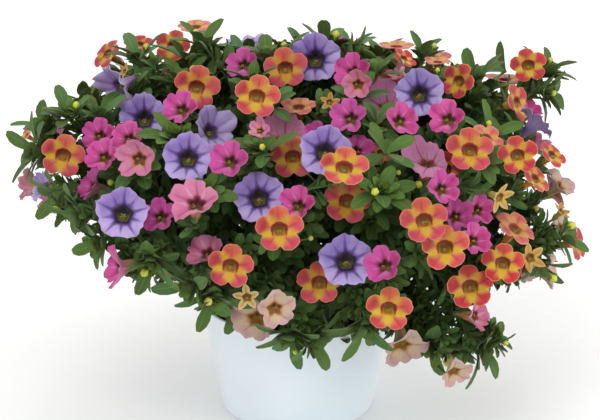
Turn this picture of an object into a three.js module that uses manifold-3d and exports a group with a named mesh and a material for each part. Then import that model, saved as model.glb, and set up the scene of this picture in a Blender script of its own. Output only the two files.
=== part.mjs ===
// A potted calibrachoa in full flower. Millimetres, +Z up, the origin at the centre of the pot's foot.
// The show side faces -Y. Every stem rises from a plain hole of its own in the soil, and each flowering
// spray and each leafy shoot is one closed solid.
import * as THREE from "three";
import Module from "manifold-3d";

const wasm = await Module();
wasm.setup();

// ---- Driving sizes ----
const pot = {
  rimRadius: 64.5,
  footRadius: 51.4,
  height: 76,
  wall: 2.4,
  floor: 3,
  footRound: 1.5,
  sides: 40,
  drainCount: 4,
  drainRadius: 4,
  drainRing: 34,
};
const soil = { top: 69, gap: 0.4, sides: 28, holeDepth: 12, holeGap: 0.35, stemReach: 54, stemSpacing: 7.8 };

// The crown of the plant: a rounded box that the blooms face out of.
const mound = { centre: [-4, 0, 155], half: [182, 140, 92], power: 2.4 };

// The place that the show side is seen from: 20 degrees above level, 1.6 m from the middle of the view.
const sight = { middle: [1.7, 20, 131], elevation: 20, distance: 1600, searchDepth: 220, searchStep: 4 };

// A bloom: a trumpet with a flaring limb round a pit, on a slim tube.
const bloomKinds = {
  orange: { radius: 15.5, cup: 2.6, throat: 4.0, pit: 7, tube: 17, lobeHalf: 18, notch: 0.77 },
  violet: { radius: 16.8, cup: 5.0, throat: 5.0, pit: 8, tube: 18, lobeHalf: 0, notch: 0.94 },
  pink: { radius: 12.6, cup: 4.5, throat: 3.6, pit: 6, tube: 15, lobeHalf: 19, notch: 0.8 },
};
const shadeFamily = {
  orange: "orange",
  crimson: "orange",
  gold: "orange",
  salmon: "orange",
  violet: "violet",
  lilac: "violet",
  pink: "pink",
  blush: "pink",
  mauve: "pink",
  dusky: "pink",
};
const tubeNeck = { depth: 4.5, radius: 4.8, calyxRadius: 1.7 };
const stem = {
  mainRadius: 1.9,
  branchRadius: 1.0,
  mainSteps: 4,
  longBranch: 52,
  shortParts: [0, 0.55, 1],
  longParts: [0, 0.38, 0.72, 1],
};
const hubs = { root: [0, 0, 92], part: 0.56, lowest: 96 };
const routing = {
  mainTries: 60,
  branchTries: 90,
  secondTries: 160,
  allowed: 0.2,
  corner: 0.35,
  faceCorner: 0.68,
};
const knuckle = { radius: 2.8, half: 2.0, ball: 3.4, reach: 5.5 };
const leaf = { halfWidth: 4.4, widest: 0.62, midRib: 0.55, keelDepth: 1.6, heart: 2.5, crown: 1.0, keel: 3 };
const rosette = { leaves: 7, fewest: 2, tilts: [15, 42], ball: 5.5 };
const flowerSprays = {
  orange: { most: 5, span: 92 },
  violet: { most: 4, span: 130 },
  pink: { most: 5, span: 92 },
};
const leafyShoots = { most: 5, span: 100 };

// Blooms of the show side, front ones first: shade, then millimetres across (right) and up from the
// middle of the view, degrees turned right and raised from facing the viewer, size, and millimetres
// behind the crown's surface.
const showBlooms = [
  ["pink", -82, 70, -20, 12, 1.00, 0],
  ["violet", 10, 103, -4, 8, 1.03, 0],
  ["pink", 34, 95, -16, 10, 1.02, 0],
  ["pink", -134, 38, -18, 14, 0.95, 0],
  ["pink", -117, 50, -16, 12, 0.90, 0],
  ["orange", 30, 30, 6, 30, 1.04, -4],
  ["pink", 55, -36, -12, 10, 1.00, 0],
  ["orange", -14, -13, 0, 4, 1.00, 0],
  ["pink", -49, 35, -14, 12, 1.02, 0],
  ["pink", 98, 63, -14, 8, 1.00, 0],
  ["pink", 70, 62, 24, 8, 0.98, 0],
  ["pink", 98, 16, 24, 6, 0.95, 0],
  ["pink", 119, -19, 24, 8, 0.90, 0],
  ["pink", 107, -3, 18, 4, 0.92, 0],
  ["orange", 98, -25, 6, 6, 1.02, 0],
  ["orange", 115, 41, 10, 14, 1.02, 0],
  ["orange", 137, -36, 4, 0, 0.93, 0],
  ["orange", 154, 98, 2, 10, 0.86, 0],
  ["orange", -160, 37, -4, 2, 0.98, 0],
  ["orange", 60, -67, 4, -6, 0.98, 0],
  ["orange", -47, -38, -4, -4, 0.97, 0],
  ["orange", 32, 6, 2, 4, 1.02, 0],
  ["orange", 84, -7, 4, 4, 1.00, 0],
  ["orange", -70, 83, -4, 6, 1.02, 2],
  ["orange", -29, 77, 0, 6, 1.00, 0],
  ["violet", -106, 63, -10, 12, 0.97, 2],
  ["violet", -76, 36, -6, 8, 0.98, 0],
  ["violet", -120, -2, -4, 4, 1.00, 0],
  ["pink", -96, -3, -10, 10, 0.97, 0],
  ["pink", -137, 52, -16, 12, 0.92, 4],
  ["pink", -40, 100, -16, 14, 0.93, 0],
  ["orange", -10, 96, 0, 6, 0.97, 4],
  ["pink", 32, 64, -14, 12, 1.00, 0],
  ["pink", -3, 5, -14, 12, 1.00, 3],
  ["violet", 17, 40, 0, 4, 1.00, 6],
  ["orange", -5, 36, -2, 4, 0.96, 6],
  ["violet", -28, 9, -2, 6, 1.00, 6],
  ["violet", 31, -34, 0, 4, 1.02, 4],
  ["orange", 13, -49, -6, 2, 0.97, 8],
  ["violet", 81, 79, 6, 4, 0.98, 6],
  ["orange", 106, 87, -42, 4, 0.84, 0],
  ["pink", 122, 1, 20, 2, 0.88, 6],
  ["orange", 147, 37, 8, 2, 0.88, 4],
  ["orange", 115, -52, 4, -4, 1.00, 6],
  ["orange", -86, 111, -18, 14, 0.84, 0],
  ["orange", -131, 106, -60, 18, 0.84, 0],
  ["blush", -72, 9, 0, 34, 1.28, 4],
  ["violet", -125, 82, -44, -30, 0.95, 0],
  ["blush", -111, 35, -10, -8, 1.02, 6],
  ["pink", -143, 18, -62, 6, 0.95, 4],
  ["lilac", -176, 16, -66, 10, 0.62, 0],
  ["salmon", -185, 51, -76, 20, 0.50, 0],
  ["gold", -119, 94, -58, 10, 0.42, 0],
  ["crimson", -109, 113, -10, 50, 0.70, 10],
  ["salmon", -71, 125, -24, 62, 0.82, 0],
  ["blush", 38, 85, 0, -10, 0.80, 12],
  ["mauve", 57, 75, 12, 62, 1.20, 6],
  ["mauve", -13, 53, 14, 62, 1.30, 8],
  ["blush", -28, 55, -20, 20, 0.55, 10],
  ["salmon", -1, 71, -20, 56, 0.80, 6],
  ["gold", 20, 73, 0, 10, 0.45, 4],
  ["crimson", 6, 56, 0, 6, 0.80, 14],
  ["pink", 11, 52, 0, 6, 0.80, 9],
  ["pink", 40, 42, 10, 20, 0.85, 10],
  ["salmon", 55, 39, 30, 20, 0.55, 12],
  ["lilac", -58, 55, 44, 12, 0.95, 4],
  ["gold", -7, 20, 0, 50, 0.50, 4],
  ["salmon", 65, 112, -24, 72, 0.85, 0],
  ["crimson", 71, 103, 64, 30, 0.62, 0],
  ["orange", 59, 85, 0, 10, 0.70, 16],
  ["blush", 66, 94, -70, 20, 0.60, 6],
  ["salmon", 93, 101, 40, 66, 0.62, 0],
  ["salmon", 138, 90, 12, 70, 0.95, 0],
  ["orange", 148, 73, 62, 4, 0.90, 0],
  ["violet", 160, 61, 112, 20, 0.85, 0],
  ["crimson", 70, 70, 0, 8, 0.80, 14],
  ["mauve", 84, 36, 26, 60, 1.20, 8],
  ["crimson", 98, 28, 4, 8, 0.80, 12],
  ["salmon", 127, 50, 56, 36, 0.80, 6],
  ["gold", 137, 35, 6, 6, 0.80, 12],
  ["gold", 126, 26, 10, -24, 0.82, 8],
  ["orange", 171, 38, 58, 26, 0.72, 0],
  ["orange", 160, 22, 64, 20, 0.80, 2],
  ["dusky", 177, 20, 58, 26, 1.00, 0],
  ["gold", 136, 8, 44, -24, 0.72, 6],
  ["salmon", 146, -11, 58, 36, 1.00, 0],
  ["gold", 156, -32, 30, 4, 0.72, 8],
  ["dusky", 155, -40, 30, -20, 0.80, 12],
  ["dusky", 179, -9, 50, 30, 0.85, 2],
  ["gold", 177, 0, 70, 30, 0.50, 0],
  ["orange", 187, -21, 66, 2, 0.90, 0],
  ["dusky", 171, -42, 68, -22, 0.95, 0],
  ["blush", 122, -70, 58, -8, 0.95, 4],
  ["dusky", 72, -95, 12, -52, 1.28, 0],
  ["dusky", 106, -111, 16, -46, 0.90, 0],
  ["gold", -36, -59, -8, -6, 0.60, 0],
  ["dusky", -32, -75, -10, -30, 1.25, 3],
  ["dusky", -15, -67, 8, -20, 1.00, 10],
  ["blush", -65, -26, -30, 28, 1.05, 5],
  ["pink", -127, -38, -60, -20, 1.12, 0],
];

// Leaf tufts that shape the outline: across, up, the way the shoot points in the view (degrees, 90 is
// up), degrees it leans to the viewer, and leaf length.
const outlineTufts = [
  [-109, 100, 95, 15, 24],
  [-79, 102, 80, 10, 20],
  [-65, 108, 88, 15, 25],
  [-56, 96, 40, 5, 24],
  [-22, 100, 90, 15, 22],
  [17, 108, 85, 5, 25],
  [34, 104, 20, 10, 22],
  [50, 90, 95, 15, 20],
  [82, 101, 85, 15, 22],
  [119, 85, 120, 20, 27],
  [139, 93, 140, 15, 24],
  [165, 92, 50, 10, 24],
  [163, 80, -10, 10, 24],
  [167, 30, 0, 15, 22],
  [-155, 62, 100, 30, 22],
  [-170, 53, 120, 25, 22],
  [-174, 39, 175, 20, 26],
  [-160, 13, 215, 25, 24],
  [-146, -1, 215, 20, 24],
  [-132, -20, 200, 25, 26],
  [-119, -27, 255, 30, 26],
  [-100, -31, 265, 30, 25],
  [-70, -49, 215, 30, 30],
  [-59, -55, 280, 30, 25],
  [-40, -62, 268, 30, 24],
  [-5, -81, 255, 20, 26],
  [7, -85, 320, 20, 26],
  [44, -75, 275, 25, 27],
  [88, -88, 260, 20, 30],
  [102, -89, 290, 10, 20],
  [121, -91, 330, 20, 28],
  [127, -86, 20, 15, 16],
  [162, -35, 275, 20, 22],
  [174, -19, 10, 20, 20],
  [-135, 62, 90, 35, 24],
];
const showRoll = 24;
const hiddenBlooms = { tries: 210, most: 46, level: 0.98, apart: 29 };
const innerTufts = { tries: 420, most: 44, level: 0.87, apart: 25, length: 23 };
const slideSteps = [0, 3, 6, 9, 12, 15, -4, 18, 21, 24, -8, 27, 30, -12, 34, -16, -20, -24];

// ---- Small vector tools ----
const degrees = Math.PI / 180;
const worldUp = [0, 0, 1];
const plus = (a, b) => [a[0] + b[0], a[1] + b[1], a[2] + b[2]];
const minus = (a, b) => [a[0] - b[0], a[1] - b[1], a[2] - b[2]];
const times = (a, k) => [a[0] * k, a[1] * k, a[2] * k];
const dot = (a, b) => a[0] * b[0] + a[1] * b[1] + a[2] * b[2];
const cross = (a, b) => [a[1] * b[2] - a[2] * b[1], a[2] * b[0] - a[0] * b[2], a[0] * b[1] - a[1] * b[0]];
const size = (a) => Math.sqrt(dot(a, a));
const unit = (a) => times(a, 1 / size(a));
const mix = (a, b, t) => plus(times(a, 1 - t), times(b, t));
const along = (a, way, distance) => plus(a, times(way, distance));
const middleOf = (points) => times(points.reduce(plus, [0, 0, 0]), 1 / points.length);

// One seeded row of draws, each from 0 to 1.
let drawState = 4711;
function draw() {
  drawState = (drawState * 1664525 + 1013904223) % 4294967296;
  return drawState / 4294967296;
}
function drawWay(reach) {
  const x = draw();
  const y = draw();
  const z = draw();
  return [(x - 0.5) * 2 * reach, (y - 0.5) * 2 * reach, (z - 0.5) * 2 * reach];
}

// ---- The crown and the view ----
const sightTilt = sight.elevation * degrees;
const forward = [0, Math.cos(sightTilt), -Math.sin(sightTilt)];
const upward = [0, Math.sin(sightTilt), Math.cos(sightTilt)];
const eye = along(sight.middle, forward, -sight.distance);

// 1 on the crown's surface, less inside it.
function moundLevel(point) {
  const away = minus(point, mound.centre);
  const x = Math.abs(away[0] / mound.half[0]) ** mound.power;
  const y = Math.abs(away[1] / mound.half[1]) ** mound.power;
  const z = Math.abs(away[2] / mound.half[2]) ** mound.power;
  return (x + y + z) ** (1 / mound.power);
}

function moundNormal(point) {
  const away = minus(point, mound.centre);
  const slope = away.map((value, axis) => {
    const part = Math.abs(value / mound.half[axis]) ** (mound.power - 1) / mound.half[axis];
    return value < 0 ? -part : part;
  });
  return unit(slope);
}

// Where a line of sight first meets the crown, or passes nearest to it.
function seatOnSight(across, up) {
  const through = plus(sight.middle, plus([across, 0, 0], times(upward, up)));
  const ray = unit(minus(through, eye));
  let lowest = Infinity;
  let best = through;
  for (let depth = -sight.searchDepth; depth <= sight.searchDepth; depth += sight.searchStep) {
    const point = along(through, ray, depth);
    const level = moundLevel(point);
    if (level < lowest) {
      lowest = level;
      best = point;
    }
    if (level <= 1) {
      break;
    }
  }
  return { point: best, ray };
}

// ---- Room keeping: what is placed is filled with small balls, and new pieces keep off them ----
const ballCell = 9;
const ballGap = 0.8;
const balls = new Map();
function cellKey(x, y, z) {
  return (Math.floor(x / ballCell) + 64) * 16384 + (Math.floor(y / ballCell) + 64) * 128
    + Math.floor(z / ballCell) + 64;
}
function addBall(point, radius, item, node) {
  const key = cellKey(point[0], point[1], point[2]);
  if (!balls.has(key)) {
    balls.set(key, []);
  }
  balls.get(key).push({ point, radius, item, node });
}

// How far a ball would sink into what is placed, leaving out its own item and node.
function crowding(point, radius, item, node) {
  let deepest = 0;
  for (let i = -1; i <= 1; i += 1) {
    for (let j = -1; j <= 1; j += 1) {
      for (let k = -1; k <= 1; k += 1) {
        const key = cellKey(point[0] + i * ballCell, point[1] + j * ballCell, point[2] + k * ballCell);
        for (const ball of balls.get(key) ?? []) {
          if (ball.item === item || (node !== null && ball.node === node)) {
            continue;
          }
          deepest = Math.max(deepest, radius + ball.radius + ballGap - size(minus(point, ball.point)));
        }
      }
    }
  }
  return deepest;
}

const potRadiusAt = (z) => pot.footRadius + ((pot.rimRadius - pot.footRadius) * z) / pot.height;

// The same for the pot and the soil: nothing in the open air, and a fixed amount close to either.
function potCrowding(point, radius) {
  const reach = Math.hypot(point[0], point[1]);
  const clear = 1;
  const crowded = 3;
  if (point[2] - radius > pot.height + clear) {
    return 0;
  }
  if (reach - radius > potRadiusAt(Math.max(point[2], 0)) + clear && point[2] > radius) {
    return 0;
  }
  if (reach + radius < pot.rimRadius - pot.wall - 2 * clear && point[2] - radius > soil.top) {
    return 0;
  }
  return crowded;
}

function ballsCrowding(list, item, node) {
  let total = 0;
  for (const ball of list) {
    total += crowding(ball.point, ball.radius, item, node) + potCrowding(ball.point, ball.radius);
  }
  return total;
}

// ---- Blooms ----
function bloomFrame(axis) {
  const reference = Math.abs(axis[2]) > 0.985 ? [0, 1, 0] : worldUp;
  const up = unit(minus(reference, times(axis, dot(reference, axis))));
  return { axis, up, right: cross(up, axis) };
}

function facing(turn, raise) {
  const side = turn * degrees;
  const lift = raise * degrees;
  return [Math.sin(side) * Math.cos(lift), -Math.cos(side) * Math.cos(lift), Math.sin(lift)];
}

function makeBloom(shade, centre, axis, scale, roll) {
  const kind = bloomKinds[shadeFamily[shade]];
  return { shade, family: shadeFamily[shade], kind, centre, scale, roll, ...bloomFrame(axis) };
}

function bloomPoint(bloom, angle, radius, rise) {
  const sideways = radius * bloom.scale * Math.cos(angle);
  const upwards = radius * bloom.scale * Math.sin(angle);
  const point = along(along(bloom.centre, bloom.right, sideways), bloom.up, upwards);
  return along(point, bloom.axis, rise * bloom.scale);
}

const calyxOf = (bloom) => bloomPoint(bloom, 0, 0, -bloom.kind.cup - bloom.kind.tube);

// Balls over the limb, down the tube and over the first stretch of the stalk.
function bloomBalls(bloom) {
  const { radius, cup, tube } = bloom.kind;
  const list = [];
  const rounds = [
    [0, 1],
    [0.36, 7],
    [0.66, 13],
    [0.92, 19],
  ];
  for (const [part, count] of rounds) {
    for (let step = 0; step < count; step += 1) {
      const angle = (2 * Math.PI * step) / count;
      const point = bloomPoint(bloom, angle, radius * part, -cup * (1 - part) - 1);
      list.push({ point, radius: 2.5 });
    }
  }
  for (const [part, ball] of [[0.25, 4.2], [0.5, 3.2], [0.75, 2.5], [1, 2], [1.3, 1.6], [1.6, 1.6]]) {
    list.push({ point: bloomPoint(bloom, 0, 0, -cup - tube * part), radius: ball });
  }
  return list;
}

const blooms = [];
function settleBloom(bloom, way, steps) {
  const start = bloom.centre;
  for (const scale of [1, 0.86]) {
    bloom.scale *= scale;
    for (const step of steps) {
      bloom.centre = along(start, way, step);
      const list = bloomBalls(bloom);
      if (ballsCrowding(list, -1, null) === 0) {
        bloom.item = blooms.length;
        list.forEach((ball) => addBall(ball.point, ball.radius, bloom.item, null));
        blooms.push(bloom);
        return true;
      }
    }
  }
  return false;
}

for (const [shade, across, up, turn, raise, scale, deep] of showBlooms) {
  const seat = seatOnSight(across, up);
  const axis = facing(turn, sight.elevation + raise);
  const roll = (draw() - 0.5) * showRoll * degrees;
  settleBloom(makeBloom(shade, along(seat.point, seat.ray, deep), axis, scale, roll), seat.ray, slideSteps);
}

// Ways spread evenly over a ball.
function evenWay(index, count) {
  const rise = 1 - (2 * (index + 0.5)) / count;
  const angle = index * Math.PI * (3 - Math.sqrt(5));
  const flat = Math.sqrt(1 - rise * rise);
  return [flat * Math.cos(angle), flat * Math.sin(angle), rise];
}

function crownPoint(way, level) {
  const far = plus(mound.centre, times(way, 100));
  return plus(mound.centre, times(way, (100 * level) / moundLevel(far)));
}

const hiddenShades = [
  "orange",
  "pink",
  "violet",
  "orange",
  "pink",
  "orange",
  "pink",
  "salmon",
  "violet",
  "blush",
];
const shownCount = blooms.length;
for (let index = 0; index < hiddenBlooms.tries; index += 1) {
  const centre = crownPoint(evenWay(index, hiddenBlooms.tries), hiddenBlooms.level);
  const normal = moundNormal(centre);
  const shade = hiddenShades[Math.floor(draw() * hiddenShades.length)];
  const swing = drawWay(0.35);
  const scale = 0.9 + 0.16 * draw();
  const roll = draw() * 72 * degrees;
  const facesViewer = -dot(normal, forward);
  const crowded = blooms.some((other) => size(minus(other.centre, centre)) < hiddenBlooms.apart);
  const full = blooms.length - shownCount >= hiddenBlooms.most;
  if (facesViewer > 0.12 || normal[2] < -0.45 || crowded || full) {
    continue;
  }
  const axis = unit(plus(plus(normal, [0, 0, 0.3]), swing));
  settleBloom(makeBloom(shade, centre, axis, scale, roll), times(normal, -1), [0, 4, 8]);
}

// ---- Leaf tufts: seats first, leaves last ----
const tufts = [];
function settleTuft(seat, way, axis, length, steps) {
  for (const step of steps) {
    const point = along(seat, way, step);
    if (ballsCrowding([{ point, radius: rosette.ball }], -1, null) === 0) {
      const item = 1000 + tufts.length;
      addBall(point, rosette.ball, item, null);
      tufts.push({ item, centre: point, length, leaves: [], ...bloomFrame(axis) });
      return;
    }
  }
}

for (const [across, up, heading, lean, length] of outlineTufts) {
  const seat = seatOnSight(across, up);
  const inView = plus([Math.cos(heading * degrees), 0, 0], times(upward, Math.sin(heading * degrees)));
  const axis = unit(plus(times(inView, Math.cos(lean * degrees)), times(forward, -Math.sin(lean * degrees))));
  settleTuft(along(seat.point, seat.ray, 6), seat.ray, axis, length, slideSteps);
}

const listedCount = tufts.length;
for (let index = 0; index < innerTufts.tries; index += 1) {
  const seat = crownPoint(evenWay(index, innerTufts.tries), innerTufts.level);
  const normal = moundNormal(seat);
  const swing = drawWay(0.3);
  const length = innerTufts.length * (0.85 + 0.3 * draw());
  const crowded = tufts.some((other) => size(minus(other.centre, seat)) < innerTufts.apart);
  const full = tufts.length - listedCount >= innerTufts.most;
  if (normal[2] < -0.6 || crowded || full) {
    continue;
  }
  settleTuft(seat, normal, unit(plus(plus(normal, [0, 0, 0.25]), swing)), length, [0, -4, 4]);
}

// ---- Sprays and shoots: near neighbours share a stem ----
function gather(items, rule, prefix) {
  const left = [...items].sort((a, b) => a.centre[0] - b.centre[0]);
  const groups = [];
  while (left.length > 0) {
    const members = [left.shift()];
    while (members.length < rule.most) {
      const centre = middleOf(members.map((one) => one.centre));
      let nearest = -1;
      let nearestDistance = rule.span;
      left.forEach((one, index) => {
        const distance = size(minus(one.centre, centre)) + 0.2 * size(minus(one.centre, members[0].centre));
        if (distance < nearestDistance) {
          nearest = index;
          nearestDistance = distance;
        }
      });
      if (nearest < 0) {
        break;
      }
      members.push(left.splice(nearest, 1)[0]);
    }
    const name = `${prefix}_${String(groups.length + 1).padStart(2, "0")}`;
    groups.push({ name, members });
  }
  return groups;
}

const families = ["orange", "violet", "pink"];
const sprays = families.flatMap((family) => {
  const own = blooms.filter((bloom) => bloom.family === family);
  return gather(own, flowerSprays[family], `${family}_spray`).map((group) => ({ ...group, family }));
});
const shoots = gather(tufts, leafyShoots, "leafy_shoot").map((group) => ({ ...group, family: "leaf" }));
const plants = [...sprays, ...shoots];
plants.forEach((plant, index) => {
  plant.node = index;
});

// The hub, where a stem branches, lies well inside the crown, above the rim of the pot.
const anchorOf = (member) => (member.kind ? calyxOf(member) : member.centre);
for (const plant of plants) {
  const middle = middleOf(plant.members.map(anchorOf));
  const hub = mix(hubs.root, middle, hubs.part);
  plant.hub = [hub[0], hub[1], Math.max(hub[2], hubs.lowest)];
  plant.spread = Math.atan2(Math.hypot(hub[0], hub[1]), plant.hub[2] - 60);
}

// Holes in the soil, in the order of the hubs round and out from the middle, pushed apart.
const widest = Math.max(...plants.map((plant) => plant.spread));
for (const plant of plants) {
  const reach = soil.stemReach * (plant.spread / widest) ** 0.9;
  const flat = Math.hypot(plant.hub[0], plant.hub[1]);
  plant.hole = [(plant.hub[0] * reach) / flat, (plant.hub[1] * reach) / flat];
}
for (let round = 0; round < 400; round += 1) {
  for (const one of plants) {
    for (const other of plants) {
      const dx = other.hole[0] - one.hole[0];
      const dy = other.hole[1] - one.hole[1];
      const gap = Math.hypot(dx, dy);
      if (one === other || gap >= soil.stemSpacing) {
        continue;
      }
      const push = (0.3 * (soil.stemSpacing - gap)) / Math.max(gap, 0.01);
      one.hole = [one.hole[0] - dx * push, one.hole[1] - dy * push];
      other.hole = [other.hole[0] + dx * push, other.hole[1] + dy * push];
    }
    const reach = Math.hypot(one.hole[0], one.hole[1]);
    if (reach > soil.stemReach) {
      one.hole = [(one.hole[0] * soil.stemReach) / reach, (one.hole[1] * soil.stemReach) / reach];
    }
  }
}

// ---- Stems ----
function bezier(a, b, c, d, t) {
  const ab = mix(a, b, t);
  const bc = mix(b, c, t);
  const cd = mix(c, d, t);
  return mix(mix(ab, bc, t), mix(bc, cd, t), t);
}

// Balls down a path; its last stretch may widen to another radius.
function pathBalls(path, radius, from, endRadius) {
  const list = [];
  for (let index = from; index < path.length - 1; index += 1) {
    const steps = Math.ceil(size(minus(path[index + 1], path[index])) / 2.8);
    const widening = index === path.length - 2 ? endRadius - radius : 0;
    for (let step = 0; step < steps; step += 1) {
      const part = (step + 0.5) / steps;
      list.push({ point: mix(path[index], path[index + 1], part), radius: radius + widening * part });
    }
  }
  return list;
}

// The main stem: straight up out of its hole, then over to the hub.
function mainPath(plant, wander) {
  const start = [plant.hole[0], plant.hole[1], soil.top + 3];
  const hub = plus(plant.hub, drawWay(wander * 0.5));
  const reach = size(minus(hub, start));
  const flat = Math.hypot(plant.hub[0], plant.hub[1]);
  const outward = [plant.hub[0] / flat, plant.hub[1] / flat, 0];
  const low = Math.min(1, Math.max(0, (flat - plant.hub[2] + soil.top) / 70));
  const rising = plus(along(start, worldUp, reach * 0.35 + 12 * low), drawWay(wander * 0.4));
  const arriving = plus(along(along(hub, outward, -0.3 * reach), worldUp, 14 * low - 2), drawWay(wander));
  const path = [[plant.hole[0], plant.hole[1], soil.top - soil.holeDepth + soil.gap], start];
  for (let step = 1; step <= stem.mainSteps; step += 1) {
    path.push(bezier(start, rising, arriving, hub, step / stem.mainSteps));
  }
  return path;
}

function routeMain(plant) {
  let best = null;
  let least = Infinity;
  for (let attempt = 0; attempt < routing.mainTries && least > 0; attempt += 1) {
    const path = mainPath(plant, attempt * 0.8);
    const list = pathBalls(path, stem.mainRadius, 2, stem.mainRadius);
    list.push({ point: path[path.length - 1], radius: knuckle.ball });
    const rest = pathBalls(path.slice(0, 3), stem.mainRadius, 0, stem.mainRadius);
    const found = ballsCrowding(list, -1, plant.node) + rest.reduce((sum, ball) =>
      sum + crowding(ball.point, ball.radius, -1, plant.node), 0);
    if (found < least) {
      least = found;
      best = { path, list: [...rest, ...list] };
    }
  }
  plant.path = best.path;
  plant.hub = best.path[best.path.length - 1];
  keepRoom(plant, best.list, -2);
  shapeKnuckle(plant);
}

// Balls close to the knuckle don't hinder the plant's own branches.
function keepRoom(plant, list, item) {
  for (const ball of list) {
    const near = size(minus(ball.point, plant.hub)) < knuckle.reach;
    addBall(ball.point, ball.radius, item, near ? plant.node : null);
  }
}

// The knuckle at the hub is a blunt six-cornered swelling. Its top face and its six side faces can each
// carry one branch.
function shapeKnuckle(plant) {
  const before = plant.path[plant.path.length - 2];
  const axis = unit(minus(plant.hub, before));
  const side = Math.abs(axis[0]) < 0.9 ? [1, 0, 0] : [0, 1, 0];
  const across = unit(minus(side, times(axis, dot(side, axis))));
  const up = cross(axis, across);
  const corner = (rise, turn) => {
    const angle = turn * degrees;
    const centre = along(plant.hub, axis, rise);
    const sideways = along(centre, across, knuckle.radius * Math.cos(angle));
    return along(sideways, up, knuckle.radius * Math.sin(angle));
  };
  const lower = [0, 120, 240].map((turn) => corner(-knuckle.half, turn));
  const upper = [60, 180, 300].map((turn) => corner(knuckle.half, turn));
  plant.knuckle = { axis, across, corners: [...lower, ...upper] };
  // Corners 0 to 2 are the lower ring and 3 to 5 the upper one; each face runs clockwise from outside.
  const faces = [[3, 5, 4], [0, 3, 1], [1, 4, 2], [2, 5, 0], [3, 4, 1], [4, 5, 2], [5, 3, 0]];
  plant.knuckle.faces = faces.map((face) => {
    const [a, b, c] = face.map((index) => plant.knuckle.corners[index]);
    const centre = middleOf([a, b, c]);
    return { face, centre, normal: unit(minus(centre, plant.hub)), member: null };
  });
}

// Each branch takes the free face that looks at its bloom or tuft best.
function shareFaces(plant) {
  const waiting = [...plant.members];
  while (waiting.length > 0) {
    let best = { fit: -Infinity };
    for (const member of waiting) {
      const way = unit(minus(anchorOf(member), plant.hub));
      for (const face of plant.knuckle.faces) {
        const fit = dot(way, face.normal);
        if (face.member === null && fit > best.fit) {
          best = { fit, member, face };
        }
      }
    }
    best.face.member = best.member;
    best.member.face = best.face;
    waiting.splice(waiting.indexOf(best.member), 1);
  }
}

// A branch runs from behind a bloom or tuft down to its face of the knuckle.
function branchPath(member, face, attempt) {
  const end = anchorOf(member);
  const start = face.centre;
  const reach = size(minus(end, start));
  const wander = attempt * 0.3;
  const leaving = plus(along(start, face.normal, reach * 0.36), drawWay(wander));
  const bend = Math.min(reach * 0.4, 26);
  const arriving = plus(along(end, member.axis, -bend), drawWay(wander * 0.6));
  const parts = reach < stem.longBranch ? stem.shortParts : stem.longParts;
  return parts.map((part) => bezier(end, arriving, leaving, start, part));
}

// More than nothing where a branch turns a corner too sharply, or meets its face too flatly.
function sharpness(path, axis, normal) {
  let total = 0;
  let arriving = times(axis, -1);
  for (let index = 0; index < path.length - 1; index += 1) {
    const leaving = unit(minus(path[index + 1], path[index]));
    total += Math.max(0, routing.corner - dot(arriving, leaving));
    arriving = leaving;
  }
  total += Math.max(0, routing.faceCorner + dot(arriving, normal));
  return total * 4;
}

function routeBranch(plant, member, face, attempts) {
  let best = null;
  let least = Infinity;
  for (let attempt = 0; attempt < attempts && least > 0; attempt += 1) {
    const path = branchPath(member, face, attempt);
    const list = pathBalls(path, stem.branchRadius, 0, knuckle.radius * 0.75);
    const near = list.filter((ball) => size(minus(ball.point, plant.hub)) < knuckle.reach);
    const far = list.filter((ball) => !near.includes(ball));
    const found = ballsCrowding(near, member.item, plant.node) + ballsCrowding(far, member.item, null)
      + sharpness(path, member.axis, face.normal);
    if (found < least) {
      least = found;
      best = { path, list };
    }
  }
  if (least > routing.allowed) {
    return false;
  }
  face.member = member;
  member.path = best.path;
  keepRoom(plant, best.list, member.item);
  return true;
}

// A member that its own face can't serve tries the free faces of its plant and then of its kind.
function findFace(plant, member) {
  const kin = plants.filter((other) => other.family === plant.family);
  const near = (one) => size(minus(one.hub, anchorOf(member)));
  const order = [plant, ...kin.filter((one) => one !== plant).sort((a, b) => near(a) - near(b)).slice(0, 8)];
  for (const one of order) {
    const way = unit(minus(anchorOf(member), one.hub));
    const free = one.knuckle.faces.filter((face) => face.member === null && dot(way, face.normal) > -0.2);
    free.sort((a, b) => dot(way, b.normal) - dot(way, a.normal));
    if (free.some((face) => routeBranch(one, member, face, routing.secondTries))) {
      return;
    }
  }
}

plants.forEach(routeMain);
plants.forEach(shareFaces);
const branches = plants.flatMap((plant) => plant.members.map((member) => ({ plant, member })));
branches.sort((a, b) => a.member.item - b.member.item);
const lost = branches.filter(({ plant, member }) =>
  !routeBranch(plant, member, member.face, routing.branchTries));
for (const { member } of lost) {
  member.face.member = null;
}
lost.forEach(({ plant, member }) => findFace(plant, member));
for (const plant of plants) {
  plant.members = plant.knuckle.faces.map((face) => face.member).filter((member) => member !== null);
}

// ---- Leaves, kept or left out one by one ----
function leafPoint(tuft, angle, tilt, reach, side, lift) {
  const outward = plus(times(tuft.right, Math.cos(angle)), times(tuft.up, Math.sin(angle)));
  const across = plus(times(tuft.right, -Math.sin(angle)), times(tuft.up, Math.cos(angle)));
  const blade = plus(times(outward, Math.cos(tilt)), times(tuft.axis, Math.sin(tilt)));
  const face = plus(times(tuft.axis, Math.cos(tilt)), times(outward, -Math.sin(tilt)));
  return along(along(along(tuft.centre, blade, reach), across, side), face, lift);
}

function leafBalls(tuft, one) {
  const count = Math.ceil(one.length / 3.6);
  const list = [];
  for (let step = 1; step < count; step += 1) {
    const reach = (one.length * (step + 0.25)) / count;
    const part = reach / one.length;
    const edge = leaf.halfWidth * Math.min(1, part / leaf.widest, (1 - part) / (1 - leaf.widest)) - 1.5;
    for (const side of edge > 0.5 ? [-edge, 0, edge] : [0]) {
      list.push({ point: leafPoint(tuft, one.angle, one.tilt, reach, side, -0.4), radius: 1.7 });
    }
  }
  return list;
}

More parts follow.
